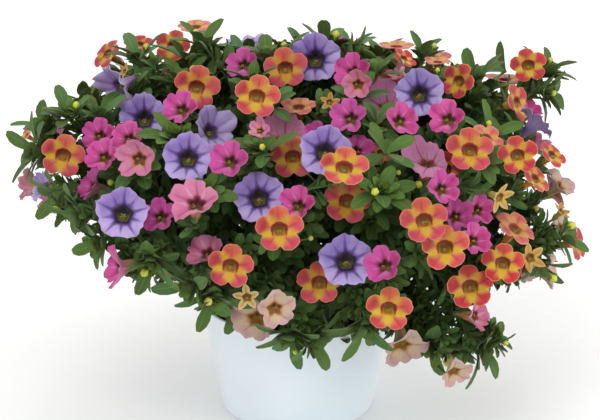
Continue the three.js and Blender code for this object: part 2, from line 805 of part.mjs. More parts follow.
// Each leaf is tried shorter, and steeper in degrees, until it is clear of everything.
const leafTrials = [
  [1, 0],
  [0.92, 12],
  [0.92, -12],
  [0.72, 0],
  [0.7, 16],
  [0.55, 8],
];
for (const plant of shoots) {
  for (const tuft of plant.members) {
    const firstAngle = draw() * 2 * Math.PI;
    for (let index = 0; index < rosette.leaves; index += 1) {
      const angle = firstAngle + ((index + (draw() - 0.5) * 0.24) * 2 * Math.PI) / rosette.leaves;
      const baseTilt = rosette.tilts[index % 2] + (draw() - 0.5) * 12;
      const length = tuft.length * (0.88 + 0.24 * draw());
      for (const [shorter, steeper] of leafTrials) {
        const one = { angle, tilt: (baseTilt + steeper) * degrees, length: length * shorter };
        const list = leafBalls(tuft, one);
        if (ballsCrowding(list, tuft.item, null) === 0) {
          list.forEach((ball) => addBall(ball.point, ball.radius, tuft.item, plant.node));
          tuft.leaves.push(one);
          break;
        }
      }
    }
  }
  plant.members = plant.members.filter((tuft) => tuft.leaves.length >= rosette.fewest);
}

// ---- Solids ----
// The same ring started at its corner nearest to an angle.
function turnedRing(ring, angle) {
  const turn = 2 * Math.PI;
  const wrapped = (value) => value - turn * Math.round(value / turn);
  const distances = ring.map((corner) => Math.abs(wrapped(corner.angle - angle)));
  const first = distances.indexOf(Math.min(...distances));
  const firstAngle = angle + wrapped(ring[first].angle - angle);
  return ring.map((_, order) => {
    const corner = ring[(first + order) % ring.length];
    const onward = corner.angle - ring[first].angle;
    return { index: corner.index, angle: firstAngle + onward - turn * Math.floor(onward / turn + 1e-9) };
  });
}

// Triangles between two rings that run the same way round, matched by angle.
function bridge(triangles, ringA, ringB) {
  const other = turnedRing(ringB, ringA[0].angle);
  const angleOf = (ring, order) => ring[order % ring.length].angle + (order >= ring.length ? 2 * Math.PI : 0);
  let a = 0;
  let b = 0;
  while (a < ringA.length || b < other.length) {
    const pointA = ringA[a % ringA.length].index;
    const pointB = other[b % other.length].index;
    const middleA = a < ringA.length ? angleOf(ringA, a) + angleOf(ringA, a + 1) : Infinity;
    const middleB = b < other.length ? angleOf(other, b) + angleOf(other, b + 1) : Infinity;
    if (middleA <= middleB) {
      triangles.push([pointA, ringA[(a + 1) % ringA.length].index, pointB]);
      a += 1;
    } else {
      triangles.push([pointB, pointA, other[(b + 1) % other.length].index]);
      b += 1;
    }
  }
}

function newShape() {
  return { points: [], triangles: [] };
}
function addPoint(shape, point) {
  shape.points.push(point);
  return shape.points.length - 1;
}
function addRing(shape, points, angles) {
  return points.map((point, order) => ({ index: addPoint(shape, point), angle: angles[order] }));
}

const stemAngles = [0, 120, 240].map((turn) => turn * degrees);

// The way along a path at each of its points, towards its start.
function pathAxes(path) {
  return path.map((_, index) =>
    unit(minus(path[Math.max(0, index - 1)], path[Math.min(path.length - 1, index + 1)])));
}

function stemRing(shape, centre, axis, across, radius) {
  const up = cross(axis, across);
  const points = stemAngles.map((angle) =>
    along(along(centre, across, radius * Math.cos(angle)), up, radius * Math.sin(angle)));
  return addRing(shape, points, stemAngles);
}

// A branch: from the ring behind a bloom or tuft down its path to a face of the knuckle. The rings take
// their turn from the face, and angleOf gives the first ring's turn as the bloom or tuft counts it.
function addBranch(shape, firstRing, path, radii, face, angleOf) {
  const axes = pathAxes(path);
  const last = path.length - 1;
  const turns = [];
  let across = unit(minus(shape.points[face[0]], path[last]));
  for (let index = last - 1; index >= 0; index -= 1) {
    across = unit(minus(across, times(axes[index], dot(across, axes[index]))));
    turns[index] = across;
  }
  const rings = turns.map((turn, index) => stemRing(shape, path[index], axes[index], turn, radii[index]));
  const start = angleOf(turns[0]);
  bridge(shape.triangles, firstRing, rings[0].map((one) => ({ index: one.index, angle: one.angle + start })));
  for (let index = 1; index < rings.length; index += 1) {
    bridge(shape.triangles, rings[index - 1], rings[index]);
  }
  const corners = [face[0], face[2], face[1]].map((index, order) => ({ index, angle: stemAngles[order] }));
  bridge(shape.triangles, rings[rings.length - 1], corners);
}

// A plain stem down a path, closed at its foot; it hangs from the ring given or is closed at its top.
function addStem(shape, topRing, path, radius, topAcross) {
  const axes = pathAxes(path);
  let across = topAcross;
  let last = topRing;
  path.forEach((point, index) => {
    across = unit(minus(across, times(axes[index], dot(across, axes[index]))));
    const ring = stemRing(shape, point, axes[index], across, radius);
    if (last) {
      bridge(shape.triangles, last, ring);
    } else {
      shape.triangles.push([ring[0].index, ring[2].index, ring[1].index]);
    }
    last = ring;
  });
  shape.triangles.push([last[0].index, last[1].index, last[2].index]);
  return across;
}

function closeTip(shape, ring, point) {
  const tip = addPoint(shape, point);
  ring.forEach((corner, order) => {
    shape.triangles.push([tip, ring[(order + 1) % ring.length].index, corner.index]);
  });
}

function solidOf(shape) {
  const volume = shape.triangles.reduce((sum, [a, b, c]) =>
    sum + dot(shape.points[a], cross(shape.points[b], shape.points[c])), 0);
  if (volume < 0) {
    shape.triangles.forEach((triangle) => triangle.reverse());
  }
  const mesh = new wasm.Mesh({
    numProp: 3,
    vertProperties: new Float32Array(shape.points.flat()),
    triVerts: new Uint32Array(shape.triangles.flat()),
  });
  return new wasm.Manifold(mesh);
}

// A bloom with its branch.
function addBloom(shape, bloom, face) {
  const { radius, cup, throat, pit, lobeHalf, notch } = bloom.kind;
  const lobes = 5;
  const throatAngles = [];
  const rimAngles = [];
  const rimPoints = [];
  for (let lobe = 0; lobe < lobes; lobe += 1) {
    const middle = (lobe * 2 * Math.PI) / lobes;
    throatAngles.push(middle);
    const corners = lobeHalf > 0 ? [[-36, notch, -0.8], [-lobeHalf, 1.02, 0], [lobeHalf, 1.02, 0]]
      : [[-36, notch, -0.6], [0, 1.02, 0.4]];
    for (const [turn, part, rise] of corners) {
      const angle = middle + turn * degrees;
      rimAngles.push(angle);
      rimPoints.push(bloomPoint(bloom, angle + Math.PI / 2 + bloom.roll, radius * part, rise));
    }
  }
  const throatPoints = throatAngles.map((angle) =>
    bloomPoint(bloom, angle + Math.PI / 2 + bloom.roll, throat, -cup));
  const throatRing = addRing(shape, throatPoints, throatAngles);
  closeTip(shape, throatRing, bloomPoint(bloom, 0, 0, -cup - pit));
  const rim = addRing(shape, rimPoints, rimAngles);
  bridge(shape.triangles, throatRing, rim);
  const angleOf = (way) =>
    Math.atan2(dot(way, bloom.up), dot(way, bloom.right)) - Math.PI / 2 - bloom.roll;
  const neck = bloomPoint(bloom, 0, 0, -cup - tubeNeck.depth);
  const path = [neck, ...bloom.path];
  const radii = path.map((_, index) => {
    if (index === 0) {
      return tubeNeck.radius * bloom.scale;
    }
    return index === 1 ? tubeNeck.calyxRadius * bloom.scale : stem.branchRadius;
  });
  addBranch(shape, rim, path, radii, face, angleOf);
}

// Corners of a rosette's heart between one leaf and the next.
function heartAngles(angle, gap) {
  const edge = 36 * degrees;
  if (gap <= 80 * degrees) {
    return [angle + gap / 2];
  }
  const open = gap - 2 * edge;
  const count = Math.ceil(open / (90 * degrees));
  return Array.from({ length: count + 1 }, (_, order) => angle + edge + (open * order) / count);
}

// A rosette of leaves with its branch. Each leaf is a folded blade, thickest along its rib.
function addTuft(shape, tuft, face) {
  const leaves = [...tuft.leaves].sort((a, b) => a.angle - b.angle);
  const crown = addPoint(shape, along(tuft.centre, tuft.axis, leaf.crown));
  const gaps = leaves.map((one, order) => {
    const next = order + 1 < leaves.length ? leaves[order + 1].angle : leaves[0].angle + 2 * Math.PI;
    return next - one.angle;
  });
  const hearts = leaves.map((one, order) => {
    return heartAngles(one.angle, gaps[order]).map((angle) => (
      { index: addPoint(shape, leafPoint(tuft, angle, 0, leaf.heart, 0, 0)), angle }
    ));
  });
  const lastHeart = hearts[leaves.length - 1];
  const startAngle = lastHeart[lastHeart.length - 1].angle - 2 * Math.PI;
  const underside = [];
  leaves.forEach((one, order) => {
    const before = order === 0 ? lastHeart : hearts[order - 1];
    const from = before[before.length - 1].index;
    const after = hearts[order];
    const ribAt = one.length * leaf.midRib;
    const rib = addPoint(shape, leafPoint(tuft, one.angle, one.tilt, ribAt, 0, -leaf.keelDepth));
    const widestAt = one.length * leaf.widest;
    const sideWidth = (gap) =>
      Math.min(leaf.halfWidth, widestAt * Math.cos(one.tilt) * Math.tan(Math.min(gap * 0.46, 0.66)));
    const leftWidth = sideWidth(gaps[(order + leaves.length - 1) % leaves.length]);
    const rightWidth = sideWidth(gaps[order]);
    const leftEdge = addPoint(shape, leafPoint(tuft, one.angle, one.tilt, widestAt, -leftWidth, 0.6));
    const rightEdge = addPoint(shape, leafPoint(tuft, one.angle, one.tilt, widestAt, rightWidth, 0.6));
    const tip = addPoint(shape, leafPoint(tuft, one.angle, one.tilt, one.length, 0, -0.8));
    const outline = [from, leftEdge, tip, rightEdge, after[0].index];
    for (let corner = 0; corner < outline.length - 1; corner += 1) {
      shape.triangles.push([crown, outline[corner + 1], outline[corner]]);
      shape.triangles.push([rib, outline[corner], outline[corner + 1]]);
    }
    for (let corner = 0; corner < after.length - 1; corner += 1) {
      shape.triangles.push([crown, after[corner + 1].index, after[corner].index]);
    }
    underside.push({ index: from, angle: order === 0 ? 0 : before[before.length - 1].angle - startAngle });
    underside.push({ index: rib, angle: one.angle - startAngle });
    after.slice(0, -1).forEach((corner) => {
      underside.push({ index: corner.index, angle: corner.angle - startAngle });
    });
  });
  const neck = along(tuft.centre, tuft.axis, -leaf.keel);
  const path = [neck, ...tuft.path.slice(1)];
  const radii = path.map(() => stem.branchRadius);
  const angleOf = (way) => Math.atan2(dot(way, tuft.up), dot(way, tuft.right)) - startAngle;
  addBranch(shape, underside, path, radii, face, angleOf);
}

// The main stem with its knuckle, and every branch on a face of it.
function plantSolid(plant) {
  const shape = newShape();
  const { across, corners, faces } = plant.knuckle;
  const indexes = corners.map((corner) => addPoint(shape, corner));
  const lower = [0, 1, 2].map((order) => ({ index: indexes[order], angle: order * 120 * degrees }));
  const path = [...plant.path].reverse().slice(1);
  plant.footAcross = addStem(shape, lower, path, stem.mainRadius, across);
  for (const { face, member } of faces) {
    const own = face.map((index) => indexes[index]);
    if (!plant.members.includes(member)) {
      shape.triangles.push(own);
    } else if (member.kind) {
      addBloom(shape, member, own);
    } else {
      addTuft(shape, member, own);
    }
  }
  return solidOf(shape);
}

function holeSolid(plant) {
  const shape = newShape();
  const bottom = [plant.hole[0], plant.hole[1], soil.top - soil.holeDepth];
  const path = [along(bottom, worldUp, soil.holeDepth + 4), bottom];
  addStem(shape, null, path, stem.mainRadius + soil.holeGap * 2, plant.footAcross);
  return solidOf(shape);
}

// ---- Pot and soil ----
function latheSolid(profile, sides) {
  const geometry = new THREE.LatheGeometry(profile.map(([x, y]) => new THREE.Vector2(x, y)), sides);
  geometry.rotateX(Math.PI / 2);
  return solidFromGeometry(geometry);
}

function solidFromGeometry(geometry) {
  const position = geometry.getAttribute("position");
  const order = geometry.getIndex();
  const shape = newShape();
  const seen = new Map();
  const merged = [];
  for (let index = 0; index < position.count; index += 1) {
    const point = [position.getX(index), position.getY(index), position.getZ(index)];
    const key = point.map((value) => Math.round(value * 1000)).join(",");
    if (!seen.has(key)) {
      seen.set(key, addPoint(shape, point));
    }
    merged.push(seen.get(key));
  }
  for (let index = 0; index < order.count; index += 3) {
    const corners = [0, 1, 2].map((corner) => merged[order.getX(index + corner)]);
    if (new Set(corners).size === 3) {
      shape.triangles.push(corners);
    }
  }
  return solidOf(shape);
}

function potSolid() {
  const inner = (z) => potRadiusAt(z) - pot.wall;
  const profile = [
    [0, 0],
    [pot.footRadius - pot.footRound, 0],
    [potRadiusAt(pot.footRound), pot.footRound],
    [pot.rimRadius, pot.height - 0.6],
    [pot.rimRadius - 0.6, pot.height],
    [pot.rimRadius - pot.wall, pot.height],
    [inner(pot.floor), pot.floor],
    [0, pot.floor],
  ];
  let body = latheSolid(profile, pot.sides);
  for (let hole = 0; hole < pot.drainCount; hole += 1) {
    const angle = ((hole + 0.5) * 2 * Math.PI) / pot.drainCount;
    const drill = new THREE.CylinderGeometry(pot.drainRadius, pot.drainRadius, pot.floor * 3, 10);
    drill.rotateX(Math.PI / 2);
    drill.translate(pot.drainRing * Math.cos(angle), pot.drainRing * Math.sin(angle), pot.floor / 2);
    body = body.subtract(solidFromGeometry(drill));
  }
  return body;
}

function soilSolid() {
  const side = (z) => potRadiusAt(z) - pot.wall - soil.gap;
  const bottom = pot.floor + soil.gap;
  const profile = [
    [0, bottom],
    [side(bottom), bottom],
    [side(soil.top), soil.top],
    [0, soil.top],
  ];
  let body = latheSolid(profile, soil.sides);
  for (const plant of plants) {
    body = body.subtract(holeSolid(plant));
  }
  return body;
}

// ---- The model ----
const finishes = {
  pot: { color: "#e9eef1", roughness: 0.38, metalness: 0 },
  soil: { color: "#2b211a", roughness: 1, metalness: 0 },
  orange: { color: "#e2643f", roughness: 0.6, metalness: 0 },
  violet: { color: "#9c84c8", roughness: 0.6, metalness: 0 },
  pink: { color: "#d84c9c", roughness: 0.6, metalness: 0 },
  leaf: { color: "#45692c", roughness: 0.65, metalness: 0 },
};

function meshOf(name, solid, finish) {
  const { vertProperties, triVerts } = solid.getMesh();
  const geometry = new THREE.BufferGeometry();
  geometry.setAttribute("position", new THREE.BufferAttribute(new Float32Array(vertProperties), 3));
  geometry.setIndex(new THREE.BufferAttribute(new Uint32Array(triVerts), 1));
  geometry.computeVertexNormals();
  const mesh = new THREE.Mesh(geometry, new THREE.MeshStandardMaterial(finishes[finish]));
  mesh.name = name;
  return mesh;
}

const calibrachoa = new THREE.Group();
for (const plant of plants) {
  calibrachoa.add(meshOf(plant.name, plantSolid(plant), plant.family));
}
calibrachoa.add(meshOf("pot", potSolid(), "pot"));
calibrachoa.add(meshOf("soil", soilSolid(), "soil"));

export default calibrachoa;
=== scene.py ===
# A calibrachoa in full flower in a plain white pot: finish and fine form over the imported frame.
import math

import bpy
import numpy as np
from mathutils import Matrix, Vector


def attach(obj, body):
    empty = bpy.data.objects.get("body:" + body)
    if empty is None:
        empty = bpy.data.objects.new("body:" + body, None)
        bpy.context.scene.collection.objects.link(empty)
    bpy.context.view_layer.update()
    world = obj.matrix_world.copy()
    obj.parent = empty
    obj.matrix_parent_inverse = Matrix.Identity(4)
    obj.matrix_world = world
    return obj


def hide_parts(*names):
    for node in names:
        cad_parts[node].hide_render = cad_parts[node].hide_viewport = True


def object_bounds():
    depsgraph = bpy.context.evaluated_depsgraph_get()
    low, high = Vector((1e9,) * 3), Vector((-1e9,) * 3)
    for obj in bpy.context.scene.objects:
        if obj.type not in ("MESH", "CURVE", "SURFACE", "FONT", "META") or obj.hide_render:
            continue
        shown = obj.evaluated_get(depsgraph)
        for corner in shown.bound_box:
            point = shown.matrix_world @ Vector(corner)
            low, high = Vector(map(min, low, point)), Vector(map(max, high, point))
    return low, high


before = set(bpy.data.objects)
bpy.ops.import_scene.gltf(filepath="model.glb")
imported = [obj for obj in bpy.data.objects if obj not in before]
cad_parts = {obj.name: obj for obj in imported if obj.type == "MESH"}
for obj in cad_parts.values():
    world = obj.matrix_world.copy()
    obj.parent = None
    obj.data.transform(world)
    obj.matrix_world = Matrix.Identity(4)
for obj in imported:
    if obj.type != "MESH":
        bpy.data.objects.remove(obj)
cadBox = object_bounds()
scene = bpy.context.scene
mm = 0.001  # the script counts in millimetres, Blender in metres
fullTurn = 2 * math.pi

# the camera
view = {
    "middle": (1.7, 20, 131),  # what the camera looks at
    "elevation": 20,
    "distance": 1600,
    "farthest": 20000,
    "lens": 142.4,
    "sensor": 36,
}

tilt = math.radians(view["elevation"])
forward = np.array([0, math.cos(tilt), -math.sin(tilt)])
upward = np.array([0, math.sin(tilt), math.cos(tilt)])
eye = np.array(view["middle"]) - forward * view["distance"]

camera = bpy.data.objects.new("camera", bpy.data.cameras.new("camera"))
camera.data.lens = view["lens"]
camera.data.sensor_width = view["sensor"]
camera.data.clip_end = view["farthest"] * mm
camera.location = Vector(eye) * mm
camera.rotation_euler = Vector(forward).to_track_quat("-Z", "Y").to_euler()
scene.collection.objects.link(camera)
scene.camera = camera


# across, up and depth
def inView(points):
    away = np.asarray(points, float) - eye
    depth = away @ forward
    scale = view["distance"] / depth
    return np.stack([away[..., 0] * scale, (away @ upward) * scale, depth], -1)


# reading the plants off the frame
reading = {
    "grain": 0.001,  # corners this close are one corner
    "widestStalk": 2.3,  # a ring of corners wider than this belongs to a knuckle
    "throatSlack": 0.05,
    "nearlyUp": 0.985,
    "fan": 7,  # the crown of a rosette has more neighbours than this
    "heartReach": 2.693,  # from a rosette's crown to the corners of its heart
    "heartSlack": 0.01,
    "shortestLeaf": 6,
    "keel": 3,
    "keelSlack": 1.2,
    "footReach": 60,  # the main stems leave the soil within this distance of the pot's middle
}
noLean = (0, 0, 0, 0, 0)
bloomForms = {
    "orange": {
        "radius": 15.5, "cup": 2.6, "throat": 4.0, "pit": 7, "tube": 17, "notch": 0.74, "roundness": 2.8,
        "dip": 0, "flare": 2.0, "curl": -0.9, "arch": 0.9, "fold": 0.5, "pleat": 0, "wave": 0.5,
        "ripple": 0.12, "throatPower": 3.4, "throatLobes": 0, "lean": (-0.8, 0, 0.5, 0.5, 0),
        "unevenness": 0.9, "stretch": (0.97, 0.91), "shift": (0, -0.4), "ragged": 0.014, "tear": 0.04,
        "tilt": 0,
    },
    "violet": {
        "radius": 16.8, "cup": 5.0, "throat": 5.0, "pit": 8, "tube": 18, "notch": 0.91, "roundness": 2.0,
        "dip": -0.045, "flare": 1.6, "curl": -1.1, "arch": 0.1, "fold": 0.4, "pleat": 1.5, "wave": 1.0,
        "ripple": 0.34, "throatPower": 2, "throatLobes": 0.09, "lean": noLean,
        "unevenness": 1.5, "stretch": (0.97, 0.95), "shift": (0, -0.8), "ragged": 0.032, "tear": 0.05,
        "tilt": 0,
    },
    "pink": {
        "radius": 12.6, "cup": 4.5, "throat": 3.6, "pit": 6, "tube": 15, "notch": 0.79, "roundness": 2.2,
        "dip": 0, "flare": 1.0, "curl": -0.9, "arch": 0, "fold": 3.0, "pleat": 0.5, "wave": 1.1,
        "ripple": 0.28, "throatPower": 2.4, "throatLobes": 0.2, "lean": (-1.6, 2.6, 5.0, 0.8, -2.0),
        "unevenness": 0.9, "stretch": (0.98, 0.95), "shift": (1.7, -1.3), "ragged": 0.024, "tear": 0.16,
        "tilt": 0,
    },
}


def unit(vectors):
    vectors = np.asarray(vectors, float)
    return vectors / np.linalg.norm(vectors, axis=-1, keepdims=True)


# corners that share a place are one corner; each keeps the set of its neighbours
def weld(node):
    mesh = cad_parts[node].data
    places, numbers, near = [], {}, []
    for polygon in mesh.polygons:
        corners = []
        for vertex in polygon.vertices:
            place = mesh.vertices[vertex].co
            key = tuple(round(value / mm / reading["grain"]) for value in place)
            if key not in numbers:
                numbers[key] = len(places)
                places.append(np.array(place) / mm)
                near.append(set())
            corners.append(numbers[key])
        for corner in corners:
            near[corner].update(corners)
    for number, own in enumerate(near):
        own.discard(number)
    return np.array(places), near


def neighbours(near, corners):
    return set().union(*(near[corner] for corner in corners))


def ringSpread(places, ring):
    corners = places[list(ring)]
    middle = corners.mean(0)
    return middle, np.linalg.norm(corners - middle, axis=1).max()


# goes from ring to ring of three corners and ends on the first wide one
def walkStalk(places, near, ring, used):
    path = []
    while len(ring) == 3:
        middle, spread = ringSpread(places, ring)
        path.append(middle)
        if spread > reading["widestStalk"]:
            break
        used |= ring
        ring = neighbours(near, ring) - used
    return np.array(path)


# ring by ring from the tip of the pit: the throat, the rim of the limb, the neck and the stalk
def readBloom(places, near, tip, family):
    form = bloomForms[family]
    throat = near[tip]
    middle, spread = ringSpread(places, throat)
    axis = middle - places[tip]
    depth = np.linalg.norm(axis)
    scale = depth / form["pit"]
    if abs(spread - form["throat"] * scale) > reading["throatSlack"] * scale:
        return None
    axis /= depth
    rim = neighbours(near, throat) - throat - {tip}
    used = {tip} | throat | rim
    neck = neighbours(near, rim) - used
    used |= neck
    first = neighbours(near, neck) - used
    # the lobe that stands most upright counts as the first
    upright = np.array([0, 0, 1]) if abs(axis[2]) < reading["nearlyUp"] else np.array([0, 1, 0])
    up = max((unit(places[corner] - middle) for corner in throat), key=lambda lobe: lobe @ upright)
    return {
        "family": family,
        "scale": scale,
        "axis": axis,
        "up": up,
        "right": np.cross(up, axis),
        "centre": middle + axis * form["cup"] * scale,
        "path": walkStalk(places, near, first, used),
    }


def circleOf(a, b, c):
    ab, ac = b - a, c - a
    normal = np.cross(ab, ac)
    towards = np.cross(normal, ab) * (ac @ ac) + np.cross(ac, normal) * (ab @ ab)
    return a + towards / (2 * (normal @ normal))


def readTuft(places, near, crown):
    fan = near[crown]
    away = {corner: np.linalg.norm(places[corner] - places[crown]) for corner in sorted(fan)}
    hearts = [corner for corner in away if abs(away[corner] - reading["heartReach"]) < reading["heartSlack"]]
    if len(hearts) < 3:
        return None
    centre = circleOf(*(places[corner] for corner in hearts[:3]))
    axis = unit(places[crown] - centre)
    tips = []
    for corner, reach in away.items():
        beside = [away[other] for other in near[corner] & fan]
        if reach > reading["shortestLeaf"] and len(beside) == 2 and max(beside) < reach:
            tips.append(places[corner])
    beyond = neighbours(near, fan) - fan - {crown}
    foot = centre - axis * reading["keel"]
    ring = {corner for corner in beyond if np.linalg.norm(places[corner] - foot) < reading["keelSlack"]}
    used = {crown} | fan | beyond
    return {
        "axis": axis,
        "centre": centre,
        "tips": np.array(tips),
        "path": walkStalk(places, near, ring, used - ring),
    }


def readPlant(node):
    places, near = weld(node)
    family = node.split("_")[0]
    corners = range(len(places))
    heads = []
    if family in bloomForms:
        heads = [readBloom(places, near, corner, family) for corner in corners if len(near[corner]) == 5]
    tufts = []
    if family == "leafy":
        tufts = [readTuft(places, near, corner) for corner in corners if len(near[corner]) > reading["fan"]]
    inside = np.hypot(places[:, 0], places[:, 1]) < reading["footReach"]
    lowest = np.argsort(np.where(inside, places[:, 2], np.inf))
    return {
        "node": node,
        "family": family,
        "blooms": [head for head in heads if head],
        "tufts": [tuft for tuft in tufts if tuft],
        "buds": [],
        "path": walkStalk(places, near, set(lowest[:3].tolist()), set()),
    }


plants = [readPlant(node) for node in sorted(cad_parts) if node not in ("pot", "soil")]
blooms = [bloom for plant in plants for bloom in plant["blooms"]]
tufts = [tuft for plant in plants for tuft in plant["tufts"]]
print("plants", len(plants), "blooms", len(blooms), "tufts", len(tufts))

# meshes from grids: rings of corners, row after row, closed at both ends
sheet = {"gap": 0.5, "slack": 1.06}  # between the layout's rectangles, and the room that they leave unused


# A part of a piece is one or more grids of the same layout: points[grid, row, column] in millimetres.
# place, side and tone are pairs of values at each corner that the finishes read.
def part(points, look, place=(0, 0), side=(0, 0), tone=(0, 0)):
    points = np.asarray(points, float)
    count, rows, columns = points.shape[:3]
    shape = (count, rows, columns + 1, 2)
    values = {"place": place, "side": side, "tone": tone}
    return {
        "points": points,
        "look": look,
        "values": {key: np.broadcast_to(value, shape) for key, value in values.items()},
    }


# each grid gets a rectangle of its own, as wide as its widest ring and as high as it is long
def layOut(parts):
    sizes = []
    for number, one in enumerate(parts):
        points = one["points"]
        around = np.linalg.norm(points - np.roll(points, -1, 2), axis=-1).sum(-1).max(-1)
        along = np.linalg.norm(np.diff(points.mean(2), axis=1), axis=-1)
        spread = np.linalg.norm(np.diff(points, axis=1), axis=-1).mean(-1)
        steps = np.maximum(along, spread)
        one["climb"] = np.concatenate([np.zeros((len(steps), 1)), np.cumsum(steps, 1)], 1)
        one["cells"] = np.zeros((len(steps), 4))
        for grid, (width, height) in enumerate(zip(around, one["climb"][:, -1])):
            sizes.append((height, width, number, grid))
    sizes.sort(reverse=True)
    gap = sheet["gap"]
    total = sum((height + gap) * (width + gap) for height, width, _, _ in sizes)
    full = max(math.sqrt(total) * sheet["slack"], max(size[1] for size in sizes) + gap)
    x, y, shelf = 0, 0, sizes[0][0]
    for height, width, number, grid in sizes:
        if x + width + gap > full:
            x, y, shelf = 0, y + shelf + gap, height
        parts[number]["cells"][grid] = x, y, width, height
        x += width + gap
    for one in parts:
        left, low, width, height = (one["cells"] / max(full, y + shelf)).T[:, :, None, None]
        count, rows, columns = one["points"].shape[:3]
        climb = one["climb"] / np.maximum(one["climb"][:, -1:], 1e-6)
        pair = left + width * np.linspace(0, 1, columns + 1), low + height * climb[..., None]
        corners = (count, rows, columns + 1)
        one["values"]["OFBake"] = np.stack([np.broadcast_to(way, corners) for way in pair], -1)


# the corners of each side face of some grids and of the faces that close their ends
def faceCorners(grids, step=1):
    sides = [grids[:, :-1, :-1], grids[:, :-1, 1:], grids[:, 1:, 1:], grids[:, 1:, :-1]]
    ends = [grids[:, 0, -2::-1], grids[:, -1, :-1]]
    return np.stack(sides, 3)[:, :, :, ::step], np.stack(ends, 1)[:, :, ::step]


def turnedInward(points, quads):
    a, b, c, d = (points - points.mean(0))[quads].swapaxes(0, 1)
    return np.einsum("ij,ij->", a, np.cross(b, c)) + np.einsum("ij,ij->", a, np.cross(c, d)) < 0


def weave(name, parts, sharp=50):
    layOut(parts)
    places, faces, slots, looks = [], [], [], []
    values = {key: [] for key in ("place", "side", "tone", "OFBake")}
    first = 0
    for one in parts:
        count, rows, columns = one["points"].shape[:3]
        flat = one["points"].reshape(-1, 3)
        index = np.arange(len(flat)).reshape(count, rows, columns)
        index = np.concatenate([index, index[:, :, :1]], 2)
        step = -1 if turnedInward(flat, faceCorners(index[:1])[0].reshape(-1, 4)) else 1
        quads, caps = faceCorners(index + first, step)
        faces += quads.reshape(-1, 4).tolist() + caps.reshape(-1, columns).tolist()
        for key, value in one["values"].items():
            values[key] += [corners.reshape(-1) for corners in faceCorners(value, step)]
        if one["look"] not in looks:
            looks.append(one["look"])
        slots += [looks.index(one["look"])] * (count * ((rows - 1) * columns + 2))
        places.append(flat * mm)
        first += len(flat)
    mesh = bpy.data.meshes.new(name)
    mesh.from_pydata(np.concatenate(places).tolist(), [], faces)
    for look in looks:
        mesh.materials.append(look)
    mesh.polygons.foreach_set("material_index", slots)
    for key, value in values.items():
        layer = mesh.uv_layers.new(name=key)
        layer.data.foreach_set("uv", np.concatenate(value).astype(np.float32))
    mesh.shade_smooth()
    mesh.set_sharp_from_angle(angle=math.radians(sharp))
    piece = bpy.data.objects.new(name, mesh)
    scene.collection.objects.link(piece)
    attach(piece, "root")
    return piece


# A field is a value that a finish works out at each spot. A sum with fields adds its nodes to the finish.
class Field:
    def __init__(self, socket):
        self.socket = socket

    def __add__(self, other):
        return maths("ADD", self, other)

    def __sub__(self, other):
        return maths("SUBTRACT", self, other)

    def __rsub__(self, other):
        return maths("SUBTRACT", other, self)

    def __mul__(self, other):
        return maths("MULTIPLY", self, other)

    def __truediv__(self, other):
        return maths("DIVIDE", self, other)

    def __pow__(self, other):
        return maths("POWER", self, other)

    def __abs__(self):
        return maths("ABSOLUTE", self)


# the linear colour of a hex code
def linear(code):
    shares = [int(code[start:start + 2], 16) / 255 for start in (1, 3, 5)]
    return (*(((share + 0.055) / 1.055) ** 2.4 if share > 0.04045 else share / 12.92 for share in shares), 1)


# values by the names or numbers of the node's sockets: fields, numbers or hex codes
def feed(node, values):
    for name, value in values.items():
        if isinstance(value, Field):
            node.id_data.links.new(value.socket, node.inputs[name])
        else:
            node.inputs[name].default_value = linear(value) if isinstance(value, str) else value


def newNode(tree, kind, values):
    node = tree.nodes.new(f"ShaderNode{kind}")
    feed(node, values)
    return node


def maths(operation, *values):
    tree = next(value for value in values if isinstance(value, Field)).socket.id_data
    node = newNode(tree, "Math", dict(enumerate(values)))
    node.operation = operation
    return Field(node.outputs[0])


# 0 below low, 1 above high, smooth between
def rise(value, low, high):
    node = newNode(value.socket.id_data, "MapRange", {"Value": value, "From Min": low, "From Max": high})
    node.interpolation_type = "SMOOTHSTEP"
    return Field(node.outputs["Result"])


def fall(value, low, high):
    return 1 - rise(value, low, high)


def paint(under, over, amount):
    node = amount.socket.id_data.nodes.new("ShaderNodeMix")
    node.data_type = "RGBA"
    feed(node, {0: amount, 6: under, 7: over})
    return Field(node.outputs[2])


# each spot a little lighter, deeper or warmer
def varied(colour, hue, saturation, value):
    values = {"Color": colour, "Hue": hue, "Saturation": saturation, "Value": value}
    return Field(newNode(colour.socket.id_data, "HueSaturation", values).outputs[0])


def axesOf(tree, vector):
    return [Field(socket) for socket in newNode(tree, "SeparateXYZ", {0: vector}).outputs]


def pairOf(look, name):
    uvs = newNode(look.node_tree, "UVMap", {})
    uvs.uv_map = name
    return axesOf(look.node_tree, Field(uvs.outputs[0]))[:2]


def vectorOf(x, y, z):
    return Field(newNode(x.socket.id_data, "CombineXYZ", {0: x, 1: y, 2: z}).outputs[0])


def position(look):
    return Field(newNode(look.node_tree, "TexCoord", {}).outputs["Object"])


def speckle(look, scale, detail, where=None, roughness=0.5):
    values = {"Scale": scale, "Detail": detail, "Roughness": roughness, "Vector": where or position(look)}
    return Field(newNode(look.node_tree, "TexNoise", values).outputs["Fac"])


def newLook(name, **sockets):
    look = bpy.data.materials.new(name)
    look.use_nodes = True
    feed(shaderOf(look), {socket.replace("_", " "): value for socket, value in sockets.items()})
    return look


def shaderOf(look):
    return look.node_tree.nodes["Principled BSDF"]


# the look's colour, and its relief in millimetres
def finish(look, colour, height, strength, depth):
    bump = newNode(look.node_tree, "Bump", {"Strength": strength, "Distance": depth * mm, "Height": height})
    feed(shaderOf(look), {"Base Color": colour, "Normal": Field(bump.outputs[0])})
    return look


